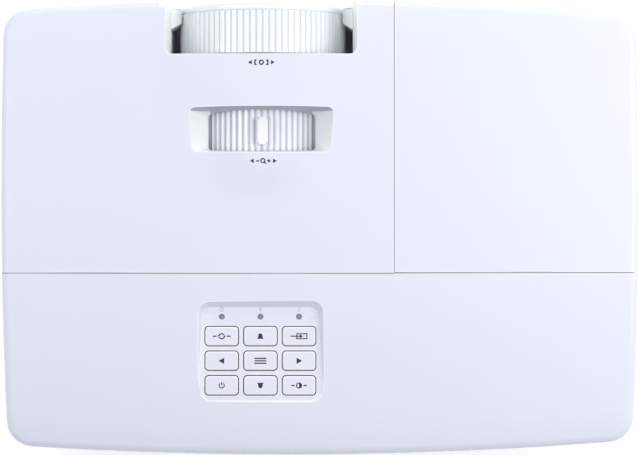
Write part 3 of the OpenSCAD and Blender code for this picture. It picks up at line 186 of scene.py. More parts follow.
class Graph:
    """Adds and links the shader nodes of one material.

    Args:
        name: Name of the material.
    """

    def __init__(self, name: str) -> None:
        self.material = bpy.data.materials.new(name)
        self.material.use_nodes = True
        self.tree = self.material.node_tree
        self.tree.nodes.clear()
        self.output = self.tree.nodes.new("ShaderNodeOutputMaterial")

    def add(self, kind: str, inputs: dict | None = None, **settings: object) -> bpy.types.Node:
        """Adds one node.

        Args:
            kind: Blender's node type.
            inputs: Values or output sockets, by input name or number.
            **settings: Properties of the node.

        Returns:
            The new node.
        """
        node = self.tree.nodes.new(kind)
        for key, value in settings.items():
            setattr(node, key, value)
        for key, value in (inputs or {}).items():
            if isinstance(value, Socket):
                self.tree.links.new(value, node.inputs[key])
            else:
                node.inputs[key].default_value = value
        return node

    def place(self) -> Socket:
        """Returns the object coordinates, in metres."""
        return self.add("ShaderNodeTexCoord").outputs["Object"]

    def noise(
        self, scale: float, detail: float, roughness: float = 0.5, at: Socket | None = None
    ) -> Socket:
        """Adds a noise.

        Args:
            scale: Cells per metre.
            detail: Octaves of the noise.
            roughness: Weight of the finer octaves.
            at: Coordinates, or none for those of the object.

        Returns:
            The noise value, about 0.5 in the mean.
        """
        where = self.place() if at is None else at
        inputs = {"Vector": where, "Scale": scale, "Detail": detail, "Roughness": roughness}
        return self.add("ShaderNodeTexNoise", inputs).outputs[0]

    def fade(
        self, value: Socket, low: float, high: float, start: float = 0.0, end: float = 1.0
    ) -> Socket:
        """Maps the values between two limits to a range.

        Args:
            value: The value.
            low: Where the result is start.
            high: Where the result is end.
            start: First result.
            end: Last result.

        Returns:
            The mapped value.
        """
        ends = {"From Min": low, "From Max": high, "To Min": start, "To Max": end}
        return self.add("ShaderNodeMapRange", {"Value": value} | ends).outputs[0]

    def blend(self, factor: Socket, one: Colour | Socket, two: Colour | Socket) -> Socket:
        """Mixes two colours, of which each may be a socket.

        Args:
            factor: Share of the second colour.
            one: First colour.
            two: Second colour.

        Returns:
            The mixed colour.
        """
        pair = [c if isinstance(c, Socket) else (*c, 1) for c in (one, two)]
        inputs = {0: factor, 6: pair[0], 7: pair[1]}
        return self.add("ShaderNodeMix", inputs, data_type="RGBA").outputs[2]

    def mix(self, factor: Socket, one: float | Socket, two: float) -> Socket:
        """Mixes two numbers.

        Args:
            factor: Share of the second number.
            one: First number.
            two: Second number.

        Returns:
            The mixed number.
        """
        return self.add("ShaderNodeMix", {0: factor, 2: one, 3: two}, data_type="FLOAT").outputs[0]

    def math(self, operation: str, *values: float | Socket) -> Socket:
        """Adds one arithmetic step.

        Args:
            operation: Blender's name of the operation.
            *values: Numbers or sockets.

        Returns:
            The result.
        """
        return self.add("ShaderNodeMath", dict(enumerate(values)), operation=operation).outputs[0]

    def vector(self, operation: str, *values: Point | Socket) -> Socket:
        """Adds one step with vectors.

        Args:
            operation: Blender's name of the operation.
            *values: Vectors or sockets.

        Returns:
            The result, which is a number for lengths and dot products.
        """
        node = self.add("ShaderNodeVectorMath", dict(enumerate(values)), operation=operation)
        return node.outputs["Value"] if operation in ("LENGTH", "DOT_PRODUCT") else node.outputs[0]

    def split(self, vector: Socket) -> Sequence[Socket]:
        """Returns the three parts of a vector.

        Args:
            vector: The vector.

        Returns:
            Its parts along X, Y and Z.
        """
        return self.add("ShaderNodeSeparateXYZ", {0: vector}).outputs

    def radius(self, centre: Point, across: Point) -> Socket:
        """Adds the distance from an axis through a point.

        Args:
            centre: A point of the axis, in metres.
            across: 1 for each direction across the axis, 0 along it.

        Returns:
            The distance in metres.
        """
        away = self.vector("SUBTRACT", self.place(), centre)
        return self.vector("LENGTH", self.vector("MULTIPLY", away, across))

    def rounded(self, radius: float) -> Socket:
        """Adds a normal that rounds sharp edges.

        Args:
            radius: Radius of the rounding in metres.

        Returns:
            The normal.
        """
        return self.add("ShaderNodeBevel", {"Radius": radius}, samples=EDGE_SAMPLES).outputs[0]

    def normal(self) -> Socket:
        """Returns the normal of the surface."""
        return self.add("ShaderNodeNewGeometry").outputs["Normal"]

    def finish(self, inputs: dict[str, object]) -> bpy.types.Material:
        """Adds the surface shader.

        Args:
            inputs: Values or sockets of the shader, by name.

        Returns:
            The finished material.
        """
        shader = self.add("ShaderNodeBsdfPrincipled", inputs)
        self.tree.links.new(shader.outputs[0], self.output.inputs["Surface"])
        return self.material


@dataclass(frozen=True)
class Finish:
    """A surface with fine relief, slight blotches, softly rounded edges and an optional painted
    highlight along them.

    Args:
        name: Name of the material.
        colour: Linear base colour.
        roughness: Mean roughness.
        metallic: 1 for bare metal.
        grain: Size of the relief's grain in metres.
        depth: Depth of that relief in metres.
        blotch: Share by which the colour varies.
        edge: Radius by which sharp edges look rounded, in metres.
        coat: Weight of a clear coat.
        brushed: Stretch of the grain along X, for drawn or rolled metal.
        rim: Share by which moulded edges are painted paler than the faces, a painted highlight.
    """

    name: str
    colour: Colour
    roughness: float = 0.45
    metallic: float = 0.0
    grain: float = 0.0004
    depth: float = 0.000004
    blotch: float = 0.02
    edge: float = 0.0003
    coat: float = 0.0
    brushed: float = 1.0
    rim: float = 0.0

    suffix = "_finish"

    def relief(self, graph: Graph) -> Socket:
        """Adds the grain over the rounded edges.

        Args:
            graph: Graph of the material.

        Returns:
            The surface normal.
        """
        base = graph.rounded(self.edge)
        stretch = {0: graph.place(), "Scale": (1 / self.brushed, 1, 1)}
        mapped = graph.add("ShaderNodeMapping", stretch).outputs[0]
        height = graph.noise(1 / self.grain, 3, 0.6, mapped)
        inputs = {"Height": height, "Distance": self.depth, "Strength": 1.0, "Normal": base}
        return graph.add("ShaderNodeBump", inputs).outputs[0]

    def colouring(self, graph: Graph) -> Socket:
        """Adds the blotched base colour and the painted highlight along edges.

        Args:
            graph: Graph of the material.

        Returns:
            The colour socket.
        """
        dark = tuple(c * (1 - self.blotch) for c in self.colour)
        light = tuple(min(c * (1 + self.blotch), 1.0) for c in self.colour)
        ground = graph.blend(graph.noise(BLOTCH_SCALE, 4), dark, light)
        if not self.rim:
            return ground
        # painted highlight: the colour goes towards white where the rounded normal turns away from
        # the flat one
        facing = graph.vector("DOT_PRODUCT", graph.rounded(PAINTED_HIGHLIGHT_RADIUS), graph.normal())
        edge = graph.fade(facing, *PAINTED_HIGHLIGHT_FACING)
        return graph.blend(graph.math("MULTIPLY", edge, self.rim), ground, WHITE)

    def surface(self, graph: Graph) -> dict[str, object]:
        """Makes what goes into the surface shader.

        Args:
            graph: Graph of the material.

        Returns:
            Values and sockets, by input name.
        """
        rough = (self.roughness - ROUGH_SPREAD, self.roughness + ROUGH_SPREAD)
        return {
            "Base Color": self.colouring(graph),
            "Roughness": graph.fade(graph.noise(PATCH_SCALE, 3), *NOISE_RANGE, *rough),
            "Metallic": self.metallic,
            "Normal": self.relief(graph),
            "Coat Weight": self.coat,
        }

    def material(self) -> bpy.types.Material:
        """Builds the material once and returns it."""
        name = self.name + self.suffix
        found = bpy.data.materials.get(name)
        if found:
            return found
        graph = Graph(name)
        return graph.finish(self.surface(graph))

    def zoned(self, name: str, *zones: Zone) -> ZonedFinish:
        """Returns this finish with other finishes in boxes.

        Args:
            name: Name of the new finish.
            *zones: The boxes; a later one lies over an earlier one.

        Returns:
            The new finish.
        """
        kept = {f.name: getattr(self, f.name) for f in fields(Finish)}
        return ZonedFinish(**kept | {"name": name, "zones": zones})


def srgb(red: float, green: float, blue: float) -> Colour:
    """Turns a display colour into a linear one.

    Args:
        red: Red from 0 to 255.
        green: Green from 0 to 255.
        blue: Blue from 0 to 255.

    Returns:
        The linear colour.
    """
    shares = (red / 255, green / 255, blue / 255)
    return tuple(c / 12.92 if c <= 0.04045 else ((c + 0.055) / 1.055) ** 2.4 for c in shares)


@dataclass(frozen=True)
class GroovedFinish(Finish):
    """A turned ring whose grooves are darkened towards their bottoms with painted shade.

    Args:
        centre: A point of the ring's axis, which lies along Y, in metres.
        root: Radius at the bottom of the grooves, in metres.
        crest: Radius over the ribs, in metres.
        shade: Linear colour of the painted shade at the bottom of the grooves.
    """

    centre: Point = LENS_AXIS
    root: float = 0.041
    crest: float = 0.0418
    shade: Colour = (0.5, 0.55, 0.7)

    def colouring(self, graph: Graph) -> Socket:
        """Darkens the base colour towards the bottom of the grooves with painted shade."""
        height = graph.fade(graph.radius(self.centre, (1, 0, 1)), self.root, self.crest)
        return graph.blend(height, self.shade, super().colouring(graph))


@dataclass(frozen=True)
class Zone:
    """A box in which a node has another finish.

    Args:
        low: Lowest corner in millimetres.
        high: Highest corner in millimetres.
        finish: The finish inside the box.
        steep: Whether only walls are meant, and not level faces.
    """

    low: Point
    high: Point
    finish: Finish
    steep: bool = False

    def mask(self, graph: Graph) -> Socket:
        """Returns 1 inside the box and 0 outside it.

        Args:
            graph: Graph of the material.

        Returns:
            The mask.
        """
        middle = tuple((a + b) / 2 * MM for a, b in zip(self.low, self.high))
        half = [(b - a) / 2 * MM for a, b in zip(self.low, self.high)]
        away = graph.vector("SUBTRACT", graph.place(), middle)
        parts = graph.split(graph.vector("ABSOLUTE", away))
        inside = [graph.math("LESS_THAN", parts[k], half[k]) for k in range(3)]
        mask = graph.math("MULTIPLY", graph.math("MULTIPLY", inside[0], inside[1]), inside[2])
        if self.steep:
            up = graph.split(graph.normal())[2]
            mask = graph.math("MULTIPLY", mask, graph.fade(up, *STEEP))
        return mask


@dataclass(frozen=True)
class ZonedFinish(Finish):
    """A finish with other finishes in boxes, for nodes of several materials and for painted light
    and shade on parts of a node.

    Args:
        zones: The boxes; a later one lies over an earlier one.
    """

    zones: tuple[Zone, ...] = ()
    suffix = "_zoned"

    def surface(self, graph: Graph) -> dict[str, object]:
        """Makes what goes into the surface shader, zone by zone."""
        colour = self.colouring(graph)
        metal: float | Socket = self.metallic
        rough: float | Socket = self.roughness
        for zone in self.zones:
            mask = zone.mask(graph)
            other = zone.finish
            colour = graph.blend(mask, colour, other.colouring(graph))
            metal = graph.mix(mask, metal, other.metallic)
            rough = graph.mix(mask, rough, other.roughness)
        normal = self.relief(graph)
        return {"Base Color": colour, "Roughness": rough, "Metallic": metal, "Normal": normal}


@dataclass(frozen=True)
class BoardFinish(Finish):
    """Solder mask over copper tracks, with tinned pads.

    Args:
        tracks: Tracks per metre.
        pads: Pads per metre.
        pad_size: Radius of a pad as a share of its cell.
    """

    tracks: float = 130.0
    pads: float = 230.0
    pad_size: float = 0.13

    def colouring(self, graph: Graph) -> Socket:
        """Adds tracks and pads to the base colour."""
        ground = super().colouring(graph)
        lines = {"Scale": self.tracks, "Mortar Size": 0.035, "Brick Width": 0.9, "Row Height": 0.31}
        bricks = graph.add("ShaderNodeTexBrick", {"Vector": graph.place()} | lines)
        track = tuple(min(c * 2.2 + 0.02, 1) for c in self.colour)
        tracked = graph.blend(bricks.outputs["Fac"], ground, track)
        cells = graph.add("ShaderNodeTexVoronoi", {"Vector": graph.place(), "Scale": self.pads})
        pads = graph.math("LESS_THAN", cells.outputs["Distance"], self.pad_size)
        return graph.blend(pads, tracked, (0.55, 0.55, 0.52))


@dataclass(frozen=True)
class WheelFinish(Finish):
    """Colour filters in sectors round an axis along X.

    Args:
        centre: A point of the axis, in metres.
        hub: Radius of the metal hub, in metres.
        metal: Linear colour of the hub.
        sectors: Linear colours of the filters, in their order round the axis.
    """

    centre: Point = (0.05, 0.016, 0.0645)
    hub: float = 0.0075
    metal: Colour = (0.6, 0.6, 0.62)
    sectors: tuple[Colour, ...] = (
        (0.75, 0.03, 0.03), (0.85, 0.6, 0.03), (0.04, 0.55, 0.1), (0.75, 0.8, 0.85),
        (0.03, 0.1, 0.75),
    )

    def colouring(self, graph: Graph) -> Socket:
        """Colours each sector."""
        parts = graph.split(graph.vector("SUBTRACT", graph.place(), self.centre))
        turn = graph.fade(graph.math("ARCTAN2", parts[1], parts[2]), -math.pi, math.pi)
        ramp = graph.add("ShaderNodeValToRGB", {0: turn})
        ramp.color_ramp.interpolation = "CONSTANT"
        stops = ramp.color_ramp.elements
        while len(stops) < len(self.sectors):
            stops.new(0.5)
        for k, colour in enumerate(self.sectors):
            stops[k].position = k / len(self.sectors)
            stops[k].color = (*colour, 1)
        rim = graph.math("GREATER_THAN", graph.radius(self.centre, (0, 1, 1)), self.hub)
        return graph.blend(rim, self.metal, ramp.outputs[0])


@dataclass(frozen=True)
class CoatedGlass(Finish):
    """Clear glass with a faint violet coating."""

    def surface(self, graph: Graph) -> dict[str, object]:
        """Makes what goes into the surface shader of the glass."""
        return {
            "Base Color": (*self.colour, 1),
            "Roughness": 0.02,
            "Transmission Weight": 1.0,
            "IOR": 1.5,
            "Coat Weight": self.coat,
            "Coat Tint": (0.55, 0.4, 1.0, 1),
        }


# rim paints a highlight along the moulded edges of the case
CASE = Finish("case_white", srgb(229, 233, 248), 0.42, grain=0.00035, depth=3.5e-6, blotch=0.008,
              edge=0.00025, rim=0.9)
LOWER = Finish("case_lower_white", srgb(226, 230, 244), 0.46, depth=5e-6, blotch=0.01)
RING_LOOK = {"roughness": 0.36, "grain": 0.0005, "depth": 2e-6, "blotch": 0.01, "edge": 0.00012}
# shade is the painted shade at the bottom of the ring grooves
FOCUS = GroovedFinish("focus_white", srgb(246, 251, 255), **RING_LOOK, root=0.0411, crest=0.0413,
                      shade=srgb(224, 227, 236))
ZOOM = GroovedFinish("zoom_white", srgb(248, 250, 254), **RING_LOOK, root=0.0332, crest=0.0339,
                     shade=srgb(206, 211, 224))
# rim paints a highlight along the edges of the keys
KEY = Finish("key_white", srgb(231, 234, 247), 0.40, grain=0.0003, depth=2e-6, blotch=0.01,
             edge=0.0002, rim=0.6)
PANEL = Finish("panel_grey", srgb(208, 212, 222), 0.5, depth=5e-6)
GRILLE = Finish("grille_grey", srgb(190, 194, 205), 0.5, depth=5e-6)
SMOKED = Finish("smoked_window", (0.012, 0.004, 0.007), 0.08, coat=1.0, depth=SMOOTH)
BARREL = Finish("barrel_grey", srgb(96, 101, 118), 0.5, depth=6e-6)
BLACK = Finish("black_plastic", (0.012, 0.012, 0.013), 0.5, depth=6e-6)
CAST = Finish("cast_metal", (0.42, 0.43, 0.45), 0.5, 1.0, grain=0.0012, depth=2e-5, blotch=0.08)
STEEL = Finish("bare_steel", (0.55, 0.55, 0.56), 0.28, 1.0, grain=0.0003, brushed=14, depth=3e-6)
TIN = Finish("tin_plate", (0.62, 0.62, 0.6), 0.4, 1.0, grain=0.001, blotch=0.1)
ALUMINIUM = Finish("aluminium", (0.66, 0.67, 0.69), 0.34, 1.0, grain=0.0003, brushed=22)
HEAT = Finish("heat_plastic", (0.055, 0.055, 0.058), 0.6, grain=0.0006, depth=1e-5, blotch=0.1)
CERAMIC = Finish("ceramic", (0.78, 0.75, 0.69), 0.7, grain=0.0008, depth=1e-5)
PARTS = Finish("components", (0.02, 0.019, 0.018))
TAPE = Finish("winding_tape", (0.55, 0.36, 0.03), 0.3, grain=0.002, depth=1e-5, blotch=0.06)
LAMINATE = BoardFinish("power_laminate", (0.32, 0.19, 0.07), 0.5, grain=0.0009, depth=6e-6,
                       blotch=0.12)
BOARD = BoardFinish("circuit_board", (0.01, 0.07, 0.028), 0.3, grain=0.0008, depth=6e-6,
                    blotch=0.2)
BLUE = Finish("socket_blue", (0.008, 0.03, 0.3), 0.4)
YELLOW = Finish("jack_yellow", (0.72, 0.47, 0.02), 0.4)
GREEN = Finish("jack_green", (0.13, 0.45, 0.14), 0.4)
PIPE = Finish("clear_plastic", srgb(122, 137, 162), 0.3, coat=0.3)
RUBBER = Finish("foot_rubber", (0.015, 0.015, 0.015), 0.8, grain=0.0007, depth=2e-5)
BRASS = Finish("insert_brass", (0.7, 0.47, 0.18), 0.3, 1.0)
INK = Finish("printed_ink", srgb(24, 25, 31), 0.6, depth=SMOOTH, edge=2e-5)
PALE_INK = Finish("pale_ink", srgb(188, 193, 209), 0.5, depth=SMOOTH, edge=2e-5)
# painted shade: near black for the faces that stand for holes and recesses
HOLE = Finish("socket_hole", (0.004, 0.004, 0.004), 0.7, depth=SMOOTH, edge=2e-5)
CREASE = Finish("crease_shade", srgb(176, 179, 191), 0.5)
# painted light: the pocket side walls, bay walls and bay webs are painted whiter than the case
POCKET = Finish("pocket_side", srgb(250, 253, 255), 0.4, edge=0.00025)
# painted shade: the front wall of the zoom pocket, which faces away from the lamps, is painted
# darker
POCKET_PAINTED_SHADE = Finish("pocket_front", srgb(182, 187, 200))
GAP = Finish("gap_shade", srgb(58, 61, 71), 0.6)
# painted shade: grey of the lap seen deep in the gaps of the top
LAP = Finish("lap_grey", srgb(206, 204, 206), 0.5, edge=5e-5)
WHEEL = WheelFinish("filter_glass_wheel", (0.8, 0.9, 0.95), 0.06, depth=SMOOTH, coat=1.0)
LENS = CoatedGlass("lens_glass", (0.93, 0.97, 1.0), coat=0.8)
FILTER = CoatedGlass("filter_glass", (0.8, 0.9, 0.95), coat=0.4)
FINISH_OF_SLOT = {
    f.name: f
    for f in (CASE, PANEL, GRILLE, SMOKED, BLACK, CAST, STEEL, ALUMINIUM, HEAT, CERAMIC, PARTS,
              LAMINATE, BOARD, YELLOW, GREEN, PIPE, RUBBER, BRASS, LENS, FILTER)
}


# ---- Stage ----


@dataclass(frozen=True)
class Lamp:
    """A square soft lamp.

    Args:
        name: Name of the lamp.
        place: Where it stands, in metres.
        power: Power in watts.
        target: Point it looks at.
        size: Side of the lamp.
    """

    name: str
    place: Point
    power: float
    target: Point = (0.0, 0.0, 0.09)
    size: float = 0.5

    def build(self) -> None:
        """Hangs up the lamp."""
        data = bpy.data.lights.new(self.name, "AREA")
        data.size = self.size
        data.energy = self.power
        lamp = bpy.data.objects.new(self.name, data)
        lamp.location = self.place
        lamp.rotation_mode = "QUATERNION"
        aim = Vector(self.target) - Vector(self.place)
        lamp.rotation_quaternion = aim.to_track_quat("-Z", "Y")
        bpy.context.scene.collection.objects.link(lamp)


@dataclass(frozen=True)
class Stage:
    """Camera, lamps, world and floor.

    Args:
        camera: Place of the camera, which looks straight down, in metres.
        focal: Focal length in millimetres.
        sensor: Width of the sensor in millimetres.
        floor_size: Side of the floor.
        glow: Strength of the floor's own light.
        surround: Strength of the light from all round.
        lamps: The lamps.
    """

    camera: Point = (-0.0001, -0.0001, 1.289)
    focal: float = 137.6
    sensor: float = 36
    floor_size: float = 6.0
    glow: float = 0.45
    surround: float = 0.38
    lamps: tuple[Lamp, ...] = (
        Lamp("right", (0.66, 0.12, 0.76), 4.95, (0.02, 0.0, 0.09)),
        Lamp("left", (-0.7, 0.12, 0.74), 2.65),
        Lamp("front", (-0.03, 0.8, 0.42), 1.8),
    )

    def build(self) -> None:
        """Makes the whole stage."""
        self.put_camera()
        self.light_world()
        self.lay_floor()
        for lamp in self.lamps:
            lamp.build()

    def put_camera(self) -> None:
        """Puts the camera straight above the middle of the case."""
        data = bpy.data.cameras.new("camera")
        data.lens = self.focal
        data.sensor_width = self.sensor
        data.clip_start = 0.05
        data.clip_end = 50
        camera = bpy.data.objects.new("camera", data)
        camera.location = self.camera
        scene = bpy.context.scene
        scene.collection.objects.link(camera)
        scene.camera = camera
        scene.view_settings.view_transform = "Standard"

    def light_world(self) -> None:
        """Makes a soft white surrounding that the camera sees as plain white."""
        world = bpy.data.worlds.new("studio")
        bpy.context.scene.world = world
        world.use_nodes = True
        tree = world.node_tree
        tree.nodes.clear()
        new, link = tree.nodes.new, tree.links.new
        output = new("ShaderNodeOutputWorld")
        seen = new("ShaderNodeBackground")
        light = new("ShaderNodeBackground")
        for node, strength in ((seen, 1.0), (light, self.surround)):
            node.inputs["Color"].default_value = (1, 1, 1, 1)
            node.inputs["Strength"].default_value = strength
        path = new("ShaderNodeLightPath")
        seen_by = path.outputs["Is Camera Ray"]
        for ray in ("Is Glossy Ray", "Is Transmission Ray"):
            either = new("ShaderNodeMath")
            either.operation = "MAXIMUM"
            link(seen_by, either.inputs[0])
            link(path.outputs[ray], either.inputs[1])
            seen_by = either.outputs[0]
        mix = new("ShaderNodeMixShader")
        link(seen_by, mix.inputs[0])
        link(light.outputs[0], mix.inputs[1])
        link(seen.outputs[0], mix.inputs[2])
        link(mix.outputs[0], output.inputs[0])

    def lay_floor(self) -> None:
        """Makes a pale, softly lit floor."""
        mesh = bpy.data.meshes.new("floor")
        s = self.floor_size / 2
        mesh.from_pydata([(-s, -s, 0), (s, -s, 0), (s, s, 0), (-s, s, 0)], [], [(0, 1, 2, 3)])
        floor = bpy.data.objects.new("floor", mesh)
        bpy.context.scene.collection.objects.link(floor)
        mesh.materials.append(Graph("floor_paper").finish({
            "Base Color": (0.85, 0.85, 0.86, 1),
            "Roughness": 0.9,
            "Emission Color": (1, 1, 1, 1),
            "Emission Strength": self.glow,
        }))


# ---- Carried-over CAD nodes ----


# Edges of CAD nodes that are sharper than this stay sharp, in degrees
SHARP_ANGLE = 24
# Distance within which split vertices are welded, in metres
WELD = 4e-6


def smoothing(degrees: int) -> bpy.types.NodeTree:
    """Makes the node group that welds a CAD node and shades it smooth up to an angle.

    Args:
        degrees: Edges sharper than this stay sharp.

    Returns:
        The node group.
    """
    tree = bpy.data.node_groups.new(f"smooth_{degrees}", "GeometryNodeTree")
    for way in ("INPUT", "OUTPUT"):
        tree.interface.new_socket("Geometry", in_out=way, socket_type="NodeSocketGeometry")
    new, link = tree.nodes.new, tree.links.new
    start, end = new("NodeGroupInput"), new("NodeGroupOutput")
    weld = new("GeometryNodeMergeByDistance")
    weld.inputs["Distance"].default_value = WELD
    angle = new("GeometryNodeInputMeshEdgeAngle")
    sharp = new("FunctionNodeCompare")
    sharp.operation = "LESS_EQUAL"
    sharp.inputs[1].default_value = math.radians(degrees)
    faces, edges = (new("GeometryNodeSetShadeSmooth") for _ in range(2))
    faces.domain, edges.domain = "FACE", "EDGE"
    link(start.outputs[0], weld.inputs["Geometry"])
    link(weld.outputs[0], faces.inputs["Geometry"])
    link(faces.outputs[0], edges.inputs["Geometry"])
    link(angle.outputs["Unsigned Angle"], sharp.inputs[0])
    link(sharp.outputs[0], edges.inputs["Shade Smooth"])
    link(edges.outputs[0], end.inputs[0])
    return tree


# Corners of a zone as shares of a board, limits of its rise over it, and its finish
BoardZone = tuple[Flat, Flat, Flat, Finish]


def board_zones(box: tuple[Vector, Vector], *zones: BoardZone) -> list[Zone]:
    """Places zones over a circuit board.

    Args:
        box: Box of the board, in metres.
        *zones: The zones in shares of the board.

    Returns:
        The zones in millimetres.
    """
    low, high = in_mm(box)
    size = high - low
    return [
        Zone((low.x + at[0] * size.x, low.y + at[1] * size.y, high.z + rise[0]),
             (low.x + to[0] * size.x, low.y + to[1] * size.y, high.z + rise[1]), finish)
        for at, to, rise, finish in zones
    ]


@dataclass(frozen=True)
class CarriedNodes:
    """Gives every CAD node its material and shading.

    Args:
        frame: The loaded frame.
    """

    frame: dict

    def own_finishes(self) -> dict[str, Finish]:
        """Returns the nodes whose finish is finer than that of their slot."""
        # painted shade: the sides of the keys below the panel are dark so the gaps round them look
        # shaded
        key = KEY.zoned("key", Zone((-90, -100, 60), (30, -30, FORM.keypad_floor + 0.15), GAP))
        keys = {name: key for name in self.frame["nodes"] if name.startswith("key_")}
        return keys | {
            "upper_case": self.top_finish(),
            "lower_case": LOWER,
            "lens_barrel": BARREL,
            "focus_ring": FOCUS,
            "zoom_ring": ZOOM,
            "colour_wheel": WHEEL,
            "vga_sockets": self.socket_finish("vga_sockets", BLUE),
            "lamp_ballast": self.ballast_finish(),
            "main_board_parts": self.main_parts_finish(),
            "power_board_parts": self.power_parts_finish(),
        }

    @staticmethod
    def top_finish() -> ZonedFinish:
        """Returns the case plastic with painted shade in the crease and key holes, and painted
        light and shade on the pocket and bay walls.
        """
        crease = Zone((-200, FORM.crease_y - 0.33, 70), (36, FORM.crease_y + 0.33, 95), CREASE)
        holes = Zone((-60, -87, 80), (1, -47, FORM.keypad_floor - 0.2), GAP)
        # painted shade on the front wall of the zoom pocket
        front = Zone((-70, 56.2, 60), (11, 61, 94), POCKET_PAINTED_SHADE, steep=True)
        # painted light on the side walls of the zoom pocket and on the walls of the lens bay
        left = Zone((-70, 35, 60), (-54.4, 57.2, 94), POCKET, steep=True)
        right = Zone((-3.9, 35, 60), (11, 57.2, 94), POCKET, steep=True)
        bay = Zone((-79, 84, 55), (21, 114, 95), POCKET, steep=True)
        return CASE.zoned("upper_case", crease, holes, front, left, right, bay)

    @staticmethod
    def socket_finish(name: str, inner: Finish) -> ZonedFinish:
        """Makes the hexagon nuts of plug sockets metal.

        Args:
            name: Name of the node.
            inner: Finish of the moulded middle.

        Returns:
            The finish.
        """
        low, high = in_mm(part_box(name))
        spacing, reach, depth = 12.5, 2.7, 8
        nuts = [
            Zone((x - reach, low.y - 1, low.z - 1), (x + reach, low.y + depth, high.z + 1), STEEL)
            for middle in (low.x + FORM.vga_inset, high.x - FORM.vga_inset)
            for x in (middle - spacing, middle + spacing)
        ]
        return inner.zoned(name + "_finish", *nuts)

    @staticmethod
    def ballast_finish() -> ZonedFinish:
        """Returns board, transformer and capacitors of the lamp ballast."""
        low, high = in_mm(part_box("lamp_ballast"))
        face = low.x + 2.05
        board = Zone((low.x - 1, low.y - 1, low.z), (face, high.y + 1, high.z + 1), BOARD)
        coil = Zone((face, low.y + 15, 17), (high.x + 1, low.y + 46, 45), TAPE)
        return PARTS.zoned("ballast_finish", board, coil)

    @staticmethod
    def main_parts_finish() -> ZonedFinish:
        """Returns chips, cans, heat sink and shield of the main board."""
        return PARTS.zoned("main_parts_finish", *board_zones(
            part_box("main_board"),
            ((0.285, 0.42), (0.41, 0.84), (2.05, 12), ALUMINIUM),
            ((0.745, 0.38), (0.915, 0.62), (-0.1, 8), TIN),
            ((0.7, 0.7), (0.95, 0.86), (8.8, 12), ALUMINIUM),
        ))

    @staticmethod
    def power_parts_finish() -> ZonedFinish:
        """Returns transformers, cans and heat sink of the power board."""
        return PARTS.zoned("power_parts_finish", *board_zones(
            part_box("power_board"),
            ((0.35, 0.46), (0.87, 0.73), (6, 20), TAPE),
            ((0.2, 0.07), (0.61, 0.24), (5, 15), TAPE),
            ((0.45, 0.3), (0.95, 0.4), (-0.1, 30), ALUMINIUM),
            ((0.1, 0.25), (0.34, 0.9), (29.8, 31), ALUMINIUM),
        ))

    def build(self) -> None:
        """Dresses all nodes."""
        slots = {s["node"]: s["material_slot"] for s in self.frame["record"]["subparts"]}
        own = self.own_finishes()
        smooth = smoothing(SHARP_ANGLE)
        for name, node in self.frame["nodes"].items():
            finish = own.get(name) or FINISH_OF_SLOT[slots[name]]
            mesh = node.data
            mesh.materials.clear()
            mesh.materials.append(finish.material())
            normals = mesh.attributes.get("custom_normal")
            if normals:
                mesh.attributes.remove(normals)
            mesh.shade_smooth()
            node.modifiers.new("smooth", "NODES").node_group = smooth
            LOG.info("%s carries %s", name, finish.name)


# ---- Printed marks ----


Loop = list[Flat]
Place = Callable[[float, float, float], Point]


def turned(points: Iterable[Flat], degrees: float, at: Flat = (0.0, 0.0)) -> Loop:
    """Turns and moves flat points.

    Args:
        points: The points.
        degrees: Turn anticlockwise.
        at: Shift after the turn.

    Returns:
        The new points.
    """
    c, s = math.cos(math.radians(degrees)), math.sin(math.radians(degrees))
    return [(at[0] + x * c - y * s, at[1] + x * s + y * c) for x, y in points]


def arc(radius: float, start: float, end: float, steps: int, at: Flat = (0.0, 0.0)) -> Loop:
    """Returns the points of an arc, both ends included.

    Args:
        radius: Radius.
        start: First angle in degrees.
        end: Last angle in degrees.
        steps: Straight pieces along the arc.
        at: Middle of the arc.

    Returns:
        The points.
    """
    angles = [math.radians(start + (end - start) * k / steps) for k in range(steps + 1)]
    return [(at[0] + radius * math.cos(a), at[1] + radius * math.sin(a)) for a in angles]


def sector(outer: float, inner: float, start: float, end: float, at: Flat = (0.0, 0.0)) -> Loop:
    """Returns part of a flat ring.

    Args:
        outer: Outer radius.
        inner: Inner radius.
        start: First angle in degrees.
        end: Last angle in degrees.
        at: Middle of the ring.

    Returns:
        The outline.
    """
    steps = 20
    hole = arc(inner, start, end, steps, at)[::-1] if inner > 0 else [at]
    return arc(outer, start, end, steps, at) + hole


def bar(x0: float, y0: float, x1: float, y1: float, width: float) -> Loop:
    """Returns a straight stroke.

    Args:
        x0: Start across.
        y0: Start along.
        x1: End across.
        y1: End along.
        width: Width of the stroke.

    Returns:
        The outline.
    """
    length = math.hypot(x1 - x0, y1 - y0)
    dx, dy = (y0 - y1) / length * width / 2, (x1 - x0) / length * width / 2
    return [(x0 + dx, y0 + dy), (x0 - dx, y0 - dy), (x1 - dx, y1 - dy), (x1 + dx, y1 + dy)]


def disc(radius: float, at: Flat = (0.0, 0.0), steps: int = 24) -> Loop:
    """Returns a circle.

    Args:
        radius: Radius.
        at: Middle.
        steps: Corners of the circle.

    Returns:
        The outline.
    """
    return arc(radius, 0, 360, steps, at)[:-1]


